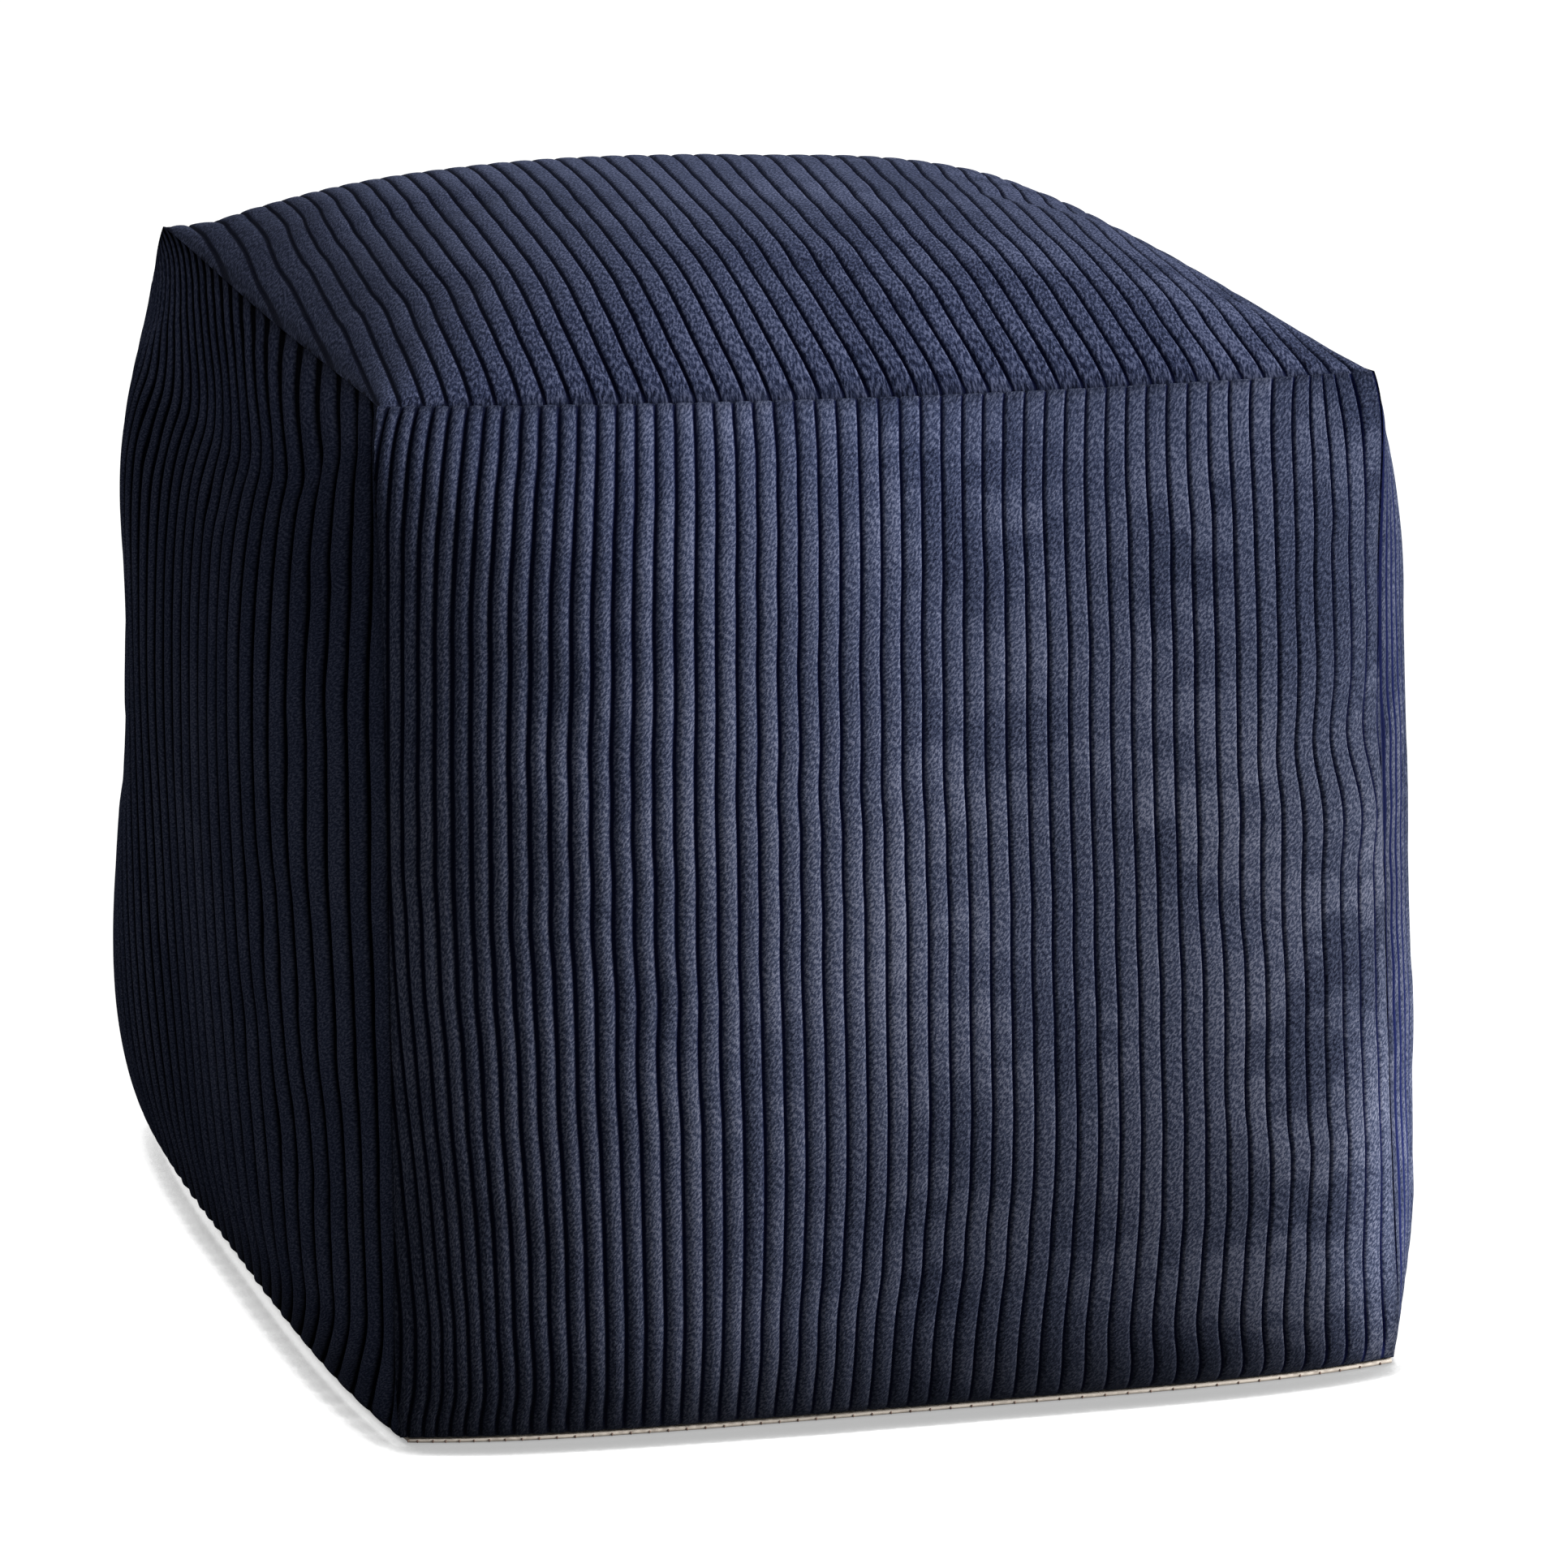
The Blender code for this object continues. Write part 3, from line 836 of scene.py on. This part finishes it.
# A ramp of colours over a value from 0 to 1
def rampOf(tree, value, stops, at):
    ramp = addNode(tree, "ShaderNodeValToRGB", at)
    elements = ramp.color_ramp.elements
    for i, (place, colour) in enumerate(stops):
        element = elements[i] if i < 2 else elements.new(1.0)
        element.position = place
        element.color = colour
    feed(tree, ramp, {"Fac": value})
    return ramp.outputs["Color"]


# A ramp of colours over a coordinate, from its lowest to its highest value
def rampOver(tree, coordinate, low, high, stops, at):
    value = remap(tree, coordinate, low, high, 0, 1, (at[0] - 200, at[1]))
    return rampOf(tree, value, [((place - low) / (high - low), colour) for place, colour in stops], at)


def greys(stops):
    return [(place, (tone, tone, tone, 1)) for place, tone in stops]


def mixColours(tree, share, first, second, at):
    node = addNode(tree, "ShaderNodeMix", at, data_type="RGBA")
    feed(tree, node, {0: share, 6: first, 7: second})
    return node.outputs[2]


def addBump(tree, shader, height, strength, distance):
    bump = addNode(tree, "ShaderNodeBump", (300, -300))
    feed(tree, bump, {"Height": height, "Strength": strength, "Distance": distance})
    feed(tree, shader, {"Normal": bump.outputs["Normal"]})


def newGroup(name, inputs, outputs):
    group = bpy.data.node_groups.new(name, "ShaderNodeTree")
    for label, kind in inputs.items():
        group.interface.new_socket(label, in_out="INPUT", socket_type="NodeSocket" + kind)
    for label, kind in outputs.items():
        group.interface.new_socket(label, in_out="OUTPUT", socket_type="NodeSocket" + kind)
    return group, addNode(group, "NodeGroupInput", (-1600, 0)), addNode(group, "NodeGroupOutput", (1400, 0))


# The pile, with a painted highlight on its cords' rims and painted shade at the seams: sizes are in metres.
# An edge is where in its noise a tone starts and is full.
pile = {
    "cordPitch": 0.0084,
    "patchSize": (0.036, 0.034, 1.0),
    "patchEdge": (0.455, 0.545),
    "patchTip": 0.005,          # how round a patch ends in each cord
    "patchJitter": 0.007,       # how unevenly a crushed patch ends from cord to cord
    "patchTone": 0.075,
    "patchRoughness": 0.6,
    "areaSize": (0.07, 0.09, 1.0),
    "areaEdge": (0.42, 0.58),
    "areaShares": (0.15, 1.0),  # calm areas and crushed ones
    "lumpSize": (0.10, 0.13, 1.0),
    "lumpEdge": (0.30, 0.70),
    "lumpTone": 0.08,
    "grainSize": (0.0008, 0.0017, 1.0),
    "grainEdge": (0.38, 0.62),
    "grainTurn": 0.60,
    "grainTone": 0.25,
    "fuzzSize": (0.0004, 0.0004, 1.0),
    "fuzzTone": 0.14,
    "lintSize": (0.0011, 0.0011, 1.0),
    "lintEdge": (0.67, 0.74),   # only the noise's peaks are light specks
    "lintTone": 0.22,
    "detail": {"patch": 3.0, "area": 1.0, "lump": 1.0, "grain": 1.5, "fuzz": 2.0, "lint": 1.0},
    "paintedRim": (0.78, 0.88, 0.96),  # where a painted highlight lies on a cord's right rim, in its width
    "paintedRimTone": 0.09,
    "cordTones": (0.46, 0.54),  # no two cords are quite alike
    "dark": (0.0030, 0.0040, 0.0105, 1),
    "middle": (0.0300, 0.0366, 0.0650, 1),
    "light": (0.1270, 0.1340, 0.1830, 1),
    "grooveEdge": (0.26, 0.62),
    # painted shade where the cloth rolls into a seam
    "seamShadeDepth": 0.35,
    "roughEdge": (0.3, 0.7),
    "roughness": (0.98, 0.82),
    "grainHeight": 0.65,
    "fuzzHeight": 0.35,
}


def makePileAndPaintedLight():
    inputs = {"Cloth": "Vector", "Cord": "Float", "Groove": "Float", "Seam": "Float", "Painted light and shade": "Float",
              "Crush": "Float", "Grain cloth": "Vector", "Grain": "Float", "Groove colour with shade": "Color"}
    outputs = {"Color": "Color", "Roughness": "Float", "Height": "Float"}
    group, ins, outs = newGroup("Corduroy pile with painted light", inputs, outputs)
    given = ins.outputs

    def combine(operation, first, second, at):
        return math2(group, operation, first, second, at)

    def toned(value, edge, amount, at):
        return remap(group, value, *edge, -amount, amount, at)

    def spread(kind, vector, at, **more):
        return noise(group, vector, pile[kind + "Size"], at, detail=pile["detail"][kind], **more)

    cordNumber = combine("FLOOR", given["Cord"], None, (-1400, 300))
    inCord = combine("FRACT", given["Cord"], None, (-1400, 500))
    chance = addNode(group, "ShaderNodeTexWhiteNoise", (-1200, 300), noise_dimensions="1D")
    feed(group, chance, {"W": cordNumber})

    # Crushed patches end at another place in each cord, with a round tip
    cloth = addNode(group, "ShaderNodeSeparateXYZ", (-1400, 0))
    feed(group, cloth, {0: given["Cloth"]})
    fromMiddle = combine("SUBTRACT", inCord, 0.5, (-1200, 700))
    tip = combine("MULTIPLY", combine("MULTIPLY", fromMiddle, fromMiddle, (-1050, 700)), 4 * pile["patchTip"],
                  (-900, 700))
    jitter = combine("MULTIPLY", chance.outputs["Value"], pile["patchJitter"], (-1000, 300))
    jitter = combine("ADD", jitter, tip, (-950, 400))
    shifted = addNode(group, "ShaderNodeCombineXYZ", (-800, 300))
    feed(group, shifted, {"X": combine("MULTIPLY", cordNumber, pile["cordPitch"], (-1000, 100)),
                          "Y": combine("ADD", cloth.outputs["Y"], jitter, (-900, 200))})
    patch = spread("patch", shifted.outputs[0], (-300, 400), roughness=pile["patchRoughness"])
    area = spread("area", given["Cloth"], (-300, 600))
    lump = spread("lump", given["Cloth"], (-300, 200))
    patches = combine("MULTIPLY", toned(patch, pile["patchEdge"], pile["patchTone"], (-100, 400)),
                      remap(group, area, *pile["areaEdge"], *pile["areaShares"], (-100, 600)), (50, 500))
    lumps = toned(lump, pile["lumpEdge"], pile["lumpTone"], (-100, 200))
    crushed = combine("MULTIPLY", combine("ADD", patches, lumps, (100, 400)), given["Crush"], (250, 500))

    # Grain, fuzz and lint
    grain = spread("grain", given["Grain cloth"], (-300, 0), turn=pile["grainTurn"])
    fuzz = spread("fuzz", given["Grain cloth"], (-300, -200))
    lint = spread("lint", given["Grain cloth"], (-300, -400))
    speck = combine("ADD", toned(grain, pile["grainEdge"], pile["grainTone"], (-100, 0)),
                    toned(fuzz, pile["grainEdge"], pile["fuzzTone"], (-100, -200)), (100, 0))
    lint = remap(group, lint, *pile["lintEdge"], 0, pile["lintTone"], (-100, -400))
    speck = combine("ADD", speck, lint, (200, -200))
    speck = combine("MULTIPLY", speck, given["Grain"], (250, 0))
    tone = combine("ADD", crushed, speck, (400, 300))

    # A painted highlight on each cord's right rim, and each cord's own tone
    start, top, end = pile["paintedRim"]
    paintedRim = combine("MULTIPLY", remap(group, inCord, start, top, 0, pile["paintedRimTone"], (-100, 800)),
                  remap(group, inCord, top, end, 1, 0, (-100, 1000)), (100, 800))
    tone = combine("ADD", tone, paintedRim, (475, 500))
    own = remap(group, chance.outputs["Value"], 0, 1, *pile["cordTones"], (250, 100))
    tone = combine("ADD", tone, own, (550, 300))
    colour = rampOf(group, tone, ((0, pile["dark"]), (0.5, pile["middle"]), (1, pile["light"])), (700, 300))

    # The grooves take their own colour: the backing cloth, with painted shade
    inGroove = remap(group, given["Groove"], *pile["grooveEdge"], 0, 1, (700, 0))
    grooved = mixColours(group, inGroove, colour, given["Groove colour with shade"], (900, 200))
    # Painted shade in the seams, and the painted light and shade over the bag, scale the colour
    seamShade = remap(group, given["Seam"], 0.0, 1.0, 1.0, 1 - pile["seamShadeDepth"], (400, -300))
    shaded = addNode(group, "ShaderNodeVectorMath", (1100, 200), operation="SCALE")
    feed(group, shaded, {0: grooved, "Scale": combine("MULTIPLY", seamShade, given["Painted light and shade"], (600, -200))})
    rough = remap(group, grain, *pile["roughEdge"], *pile["roughness"], (900, -400))
    height = combine("ADD", combine("MULTIPLY", fuzz, pile["fuzzHeight"], (600, -700)),
                     combine("MULTIPLY", grain, pile["grainHeight"], (600, -500)), (800, -500))
    feed(group, outs, {"Color": shaded.outputs[0], "Roughness": rough, "Height": height})
    return group


pileAndPaintedLight = makePileAndPaintedLight()


def newMaterial(name):
    material = bpy.data.materials.new(name)
    material.use_nodes = True
    tree = material.node_tree
    shader = tree.nodes["Principled BSDF"]
    shader.location = (600, 0)
    tree.nodes["Material Output"].location = (900, 0)
    return material, tree, shader


def attributeNode(tree, name, at):
    return addNode(tree, "ShaderNodeAttribute", at, attribute_type="GEOMETRY", attribute_name=name)


# Lit and shaded copies of the same cloth, each with its own painted light and shade: its painted tones across
# the bag, low down too, and upwards, its painted tint low and high, how strongly and how long its grain
# shows, how crushed it is, and the colours in its grooves at the bag's left and right: the backing cloth,
# with painted shade
litAndShadedCopies = {
    "navyCorduroyPaintedLightAndShade": {
        "across": ((-0.24, 0.54), (-0.10, 0.86), (0.0, 0.96), (0.09, 0.68), (0.17, 0.68), (0.24, 0.82)),
        "acrossLow": ((-0.24, 0.38), (-0.142, 0.56), (-0.064, 0.87), (0.015, 0.56), (0.132, 0.50),
                      (0.171, 0.68), (0.200, 1.50), (0.24, 1.45)),
        "upwards": ((0.006, 0.44), (0.02, 0.60), (0.05, 0.84), (0.17, 0.96), (0.28, 1.0), (0.42, 0.74)),
        "tints": ((1.0, 1.0, 0.98), (0.93, 0.98, 1.09)),
        "grain": 1.0, "grainScale": (1.0, 1.0, 1.0), "crush": 1.25, "sheen": 0.05, "specular": 0.03,
        "grooves": ((0.0010, 0.0018, 0.0062, 1), (0.0090, 0.0125, 0.0600, 1)),
    },
    "navyCorduroyTopPaintedShade": {
        "across": ((-0.24, 0.42), (0.02, 0.53), (0.24, 0.46)),
        "upwards": ((0.0, 1.0), (0.44, 1.0)),
        "tints": ((0.88, 0.95, 1.16), (0.88, 0.95, 1.16)),
        "grain": 1.30, "grainScale": (0.9, 0.65, 1.0), "crush": 1.2, "sheen": 0.05, "specular": 0.03,
        "grooves": ((0.0006, 0.0014, 0.0090, 1), (0.0030, 0.0052, 0.0260, 1)),
    },
    "navyCorduroyAwayFromLight": {
        "across": ((-0.24, 0.45), (0.24, 0.45)),
        "upwards": ((0.02, 0.80), (0.17, 1.0), (0.28, 1.0), (0.42, 0.60)),
        "tints": ((0.97, 1.0, 1.06), (0.92, 0.97, 1.12)),
        "grain": 0.8, "grainScale": (0.8, 1.5, 1.0), "crush": 1.0, "sheen": 0.0, "specular": 0.01,
        "grooves": ((0.0002, 0.0006, 0.0030, 1), (0.0004, 0.0010, 0.0040, 1)),
    },
}
# The copy that each panel gets, with its own painted light and shade
panelShadingCopies = {
    "front": "navyCorduroyPaintedLightAndShade", "right": "navyCorduroyPaintedLightAndShade", "top": "navyCorduroyTopPaintedShade",
    "left": "navyCorduroyAwayFromLight", "back": "navyCorduroyAwayFromLight",
}
finishAndPaintedLight = {
    "sheenRoughness": 0.45,
    "sheenTint": (0.50, 0.60, 0.95, 1),
    "reach": 0.24,              # half of the width, and the height, that the painted light and shade are laid over
    "height": 0.44,
    "brightest": 1.5,
    "lowFrom": (0.19, 0.09),    # the heights where the painted tones across turn into those low down
    # the heights where the painted tint turns from its low colour to its high one
    "tintUp": (0.24, 0.40),
    "mostTint": 1.2,
    "crushFrom": (-0.16, 0.45),  # the pile is more crushed to the right
    "crushTo": (0.12, 1.25),
    "bumpStrength": 0.55,
    "bumpDistance": 0.0006,
}


# Painted light and shade: how bright the cloth is painted at each place of the bag
def paintedLightAndShade(tree, shadingCopy, x, z):
    reach = finishAndPaintedLight["reach"]
    across = rampOver(tree, x, -reach, reach, greys(shadingCopy["across"]), (-600, -300))
    if "acrossLow" in shadingCopy:
        low = rampOver(tree, x, -reach, reach, greys(shadingCopy["acrossLow"]), (-600, -1400))
        share = remap(tree, z, *finishAndPaintedLight["lowFrom"], 0, 1, (-700, -200))
        across = mixColours(tree, share, across, low, (-500, -300))
    upwards = rampOver(tree, z, 0, finishAndPaintedLight["height"], greys(shadingCopy["upwards"]), (-600, -600))
    shade = math2(tree, "MULTIPLY", across, upwards, (-400, -400))
    return math2(tree, "MULTIPLY", shade, finishAndPaintedLight["brightest"] * finishAndPaintedLight["mostTint"], (-300, -500))


def makeCorduroy(name, shadingCopy):
    material, tree, shader = newMaterial(name)
    clothMap = addNode(tree, "ShaderNodeUVMap", (-600, 200), uv_map="cloth").outputs["UV"]
    place = addNode(tree, "ShaderNodeTexCoord", (-1200, -300))
    split = addNode(tree, "ShaderNodeSeparateXYZ", (-1000, -300))
    feed(tree, split, {0: place.outputs["Object"]})
    x, z = split.outputs["X"], split.outputs["Z"]
    reach = finishAndPaintedLight["reach"]
    scaled = addNode(tree, "ShaderNodeVectorMath", (-400, 300), operation="MULTIPLY")
    feed(tree, scaled, {0: clothMap, 1: shadingCopy["grainScale"]})
    (left, lessCrushed), (right, mostCrushed) = finishAndPaintedLight["crushFrom"], finishAndPaintedLight["crushTo"]
    crush = remap(tree, x, left, right, lessCrushed * shadingCopy["crush"], mostCrushed * shadingCopy["crush"], (-500, -900))
    given = {
        "Cloth": clothMap, "Painted light and shade": paintedLightAndShade(tree, shadingCopy, x, z), "Crush": crush,
        "Grain cloth": scaled.outputs[0], "Grain": shadingCopy["grain"],
        # The grooves' colour from the bag's left to its right: the backing cloth, with painted shade darker
        # at the left
        "Groove colour with shade": rampOver(tree, x, -reach, reach, zip((-reach, reach), shadingCopy["grooves"]), (-600, -1100)),
    }
    for i, label in enumerate(("Cord", "Groove", "Seam")):
        given[label] = attributeNode(tree, label.lower(), (-600, -i * 60)).outputs["Fac"]
    group = addNode(tree, "ShaderNodeGroup", (-200, 0), node_tree=pileAndPaintedLight)
    feed(tree, group, given)

    # Painted tint over the height, bluer higher up
    tints = [(*(part / finishAndPaintedLight["mostTint"] for part in tint), 1) for tint in shadingCopy["tints"]]
    tinted = addNode(tree, "ShaderNodeVectorMath", (200, 100), operation="MULTIPLY")
    tint = rampOver(tree, z, 0, finishAndPaintedLight["height"], zip(finishAndPaintedLight["tintUp"], tints), (-300, 700))
    feed(tree, tinted, {0: group.outputs["Color"], 1: tint})
    feed(tree, shader, {
        "Base Color": tinted.outputs[0], "Roughness": group.outputs["Roughness"],
        "Specular IOR Level": shadingCopy["specular"], "Sheen Weight": shadingCopy["sheen"],
        "Sheen Roughness": finishAndPaintedLight["sheenRoughness"], "Sheen Tint": finishAndPaintedLight["sheenTint"],
    })
    addBump(tree, shader, group.outputs["Height"], finishAndPaintedLight["bumpStrength"], finishAndPaintedLight["bumpDistance"])
    return material


# Plain weave for the base and twisted thread for the stitches
undyed = {
    "yarn": 0.0007,             # a sixth of the way from yarn to yarn
    "weaveUneven": 0.6,
    "light": (0.560, 0.500, 0.435, 1),
    "lightFrom": 0.55,
    "dark": (0.360, 0.315, 0.270, 1),
    "fleckSize": (0.004, 0.004, 0.004),
    "fleckEdge": (0.3, 0.7),
    "fleckTones": (-0.15, 0.25),
    "roughness": (0.95, 0.80),
    "specular": 0.2,
    "bumpStrength": 0.5,
    "bumpDistance": 0.0003,
}
thread = {
    "twist": 0.0004,            # a sixth of the way from twist to twist
    "dark": (0.120, 0.070, 0.055, 1),
    "light": (0.230, 0.150, 0.120, 1),
    "roughness": (0.9, 0.7),
    "bumpStrength": 0.4,
    "bumpDistance": 0.0002,
}


waveTurn = 20                   # radians that a wave texture turns over each unit


# Waves that turn one radian over the given length
def waves(tree, place, direction, length, at, uneven=0.0):
    wave = addNode(tree, "ShaderNodeTexWave", at, bands_direction=direction)
    scale = 1 / length / waveTurn
    feed(tree, wave, {"Vector": place.outputs["Object"], "Scale": scale, "Distortion": uneven})
    return wave.outputs["Fac"]


def makeBaseCloth():
    material, tree, shader = newMaterial("undyedBaseCloth")
    place = addNode(tree, "ShaderNodeTexCoord", (-900, 0))
    weft, warp, ply = [waves(tree, place, way, undyed["yarn"], (-600, 300 - i * 250), undyed["weaveUneven"])
                       for i, way in enumerate("XYZ")]
    woven = math2(tree, "MULTIPLY", math2(tree, "MAXIMUM", weft, warp, (-350, 200)), ply, (-200, 100))
    fleck = noise(tree, place.outputs["Object"], undyed["fleckSize"], (-350, -300), detail=3.0)
    flecks = remap(tree, fleck, *undyed["fleckEdge"], *undyed["fleckTones"], (-200, -300))
    stops = ((0, undyed["dark"]), (undyed["lightFrom"], undyed["light"]))
    colour = rampOf(tree, math2(tree, "ADD", woven, flecks, (0, 0)), stops, (150, 100))
    rough = remap(tree, fleck, *undyed["fleckEdge"], *undyed["roughness"], (150, -150))
    feed(tree, shader, {"Base Color": colour, "Roughness": rough, "Specular IOR Level": undyed["specular"]})
    addBump(tree, shader, woven, undyed["bumpStrength"], undyed["bumpDistance"])
    return material


def makeThread():
    material, tree, shader = newMaterial("brownThread")
    place = addNode(tree, "ShaderNodeTexCoord", (-600, 0))
    twist = waves(tree, place, "DIAGONAL", thread["twist"], (-400, 0))
    colour = rampOf(tree, twist, ((0, thread["dark"]), (1, thread["light"])), (-100, 100))
    rough = remap(tree, twist, 0, 1, *thread["roughness"], (0, -100))
    feed(tree, shader, {"Base Color": colour, "Roughness": rough})
    addBump(tree, shader, twist, thread["bumpStrength"], thread["bumpDistance"])
    return material


corduroys = {name: makeCorduroy(name, shadingCopy) for name, shadingCopy in litAndShadedCopies.items()}
for name, piece in panels.items():
    piece.data.materials.append(corduroys[panelShadingCopies[name]])
baseCloth.data.materials.append(makeBaseCloth())
stitches.data.materials.append(makeThread())
print("materials made")

for piece in panels.values():
    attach(piece, "root")
    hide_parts("filled_bag")
for piece in (baseCloth, stitches):
    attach(piece, "root")
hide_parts("base_panel")

# The room: a pale floor, soft light from the right, a weak fill all round and the photo's camera
studio = {
    "floorSize": 60.0,
    "floorColour": (0.12, 0.12, 0.12, 1),
    "floorWhite": (1.0, 1.0, 1.0, 1),
    "floorGlow": 1.02,          # what the camera sees of the lit floor
    "floorBounce": 0.10,        # what the floor lends the bag
    "floorSpeck": (0.5, 0.5, 0.5),
    "floorRoughness": (0.75, 0.85),
    "shadowReach": 0.016,
    "shadowTowards": (0.35, 0.92, 0.20),    # the bag is looked for that way: it falls to the front and left
    "shadowTones": ((0.38, 0.30), (0.60, 0.37), (0.72, 0.47), (0.79, 0.60), (0.805, 1.0)),
    "skyColour": (1.0, 1.0, 1.0, 1),
    "skyStrength": 0.42,
    "lights": {
        "keyFromRight": {"at": (2.85, -1.85, 1.9), "size": 1.5, "watts": 260},
        "topSoft": {"at": (0.6, 0.9, 3.0), "size": 2.4, "watts": 25},
    },
    "aim": (0.0, 0.0, 0.20),
    "cameraAt": (-0.72112, -2.42915, 0.87797),
    "cameraTurn": (74.9502, -1.1506, -16.5614),
    "lens": 145.956,
    "sensor": 36.0,
}


def makeStudio():
    deselectAll()
    bpy.ops.mesh.primitive_plane_add(size=studio["floorSize"], location=(0, 0, 0))
    floor = bpy.context.active_object
    floor.name = "studio_floor"
    material, tree, shader = newMaterial("paleFloor")
    place = addNode(tree, "ShaderNodeTexCoord", (-600, 0))
    speck = noise(tree, place.outputs["Object"], studio["floorSpeck"], (-200, 0))
    towards = addNode(tree, "ShaderNodeCombineXYZ", (-800, -400))
    feed(tree, towards, dict(zip("XYZ", Vector(studio["shadowTowards"]).normalized())))
    contact = addNode(tree, "ShaderNodeAmbientOcclusion", (-600, -400))
    feed(tree, contact, {"Normal": towards.outputs[0], "Distance": studio["shadowReach"]})
    shadow = rampOver(tree, contact.outputs["AO"], 0, 1, greys(studio["shadowTones"]), (-300, -400))
    ray = addNode(tree, "ShaderNodeLightPath", (-600, -700))
    glow = remap(tree, ray.outputs["Is Camera Ray"], 0, 1, studio["floorBounce"], studio["floorGlow"],
                 (-300, -700))
    feed(tree, shader, {
        "Roughness": remap(tree, speck, 0, 1, *studio["floorRoughness"], (100, -200)),
        "Base Color": studio["floorColour"], "Specular IOR Level": 0.0,
        "Emission Color": studio["floorWhite"],
        "Emission Strength": math2(tree, "MULTIPLY", shadow, glow, (0, -500)),
    })
    floor.data.materials.append(material)

    world = bpy.data.worlds.new("studioSky")
    world.use_nodes = True
    background = world.node_tree.nodes["Background"]
    feed(world.node_tree, background, {"Color": studio["skyColour"], "Strength": studio["skyStrength"]})
    bpy.context.scene.world = world

    for name, light in studio["lights"].items():
        deselectAll()
        bpy.ops.object.light_add(type="AREA", location=light["at"])
        lamp = bpy.context.active_object
        lamp.name = name
        lamp.data.size = light["size"]
        lamp.data.energy = light["watts"]
        aim = Vector(studio["aim"]) - Vector(light["at"])
        lamp.rotation_euler = aim.to_track_quat("-Z", "Y").to_euler()

    deselectAll()
    bpy.ops.object.camera_add(location=studio["cameraAt"],
                              rotation=[math.radians(a) for a in studio["cameraTurn"]])
    camera = bpy.context.active_object
    camera.name = "photo_camera"
    camera.data.lens = studio["lens"]
    camera.data.sensor_width = studio["sensor"]
    camera.data.dof.use_dof = False
    bpy.context.scene.camera = camera
    bpy.context.scene.view_settings.view_transform = "Standard"


makeStudio()
print("studio made")
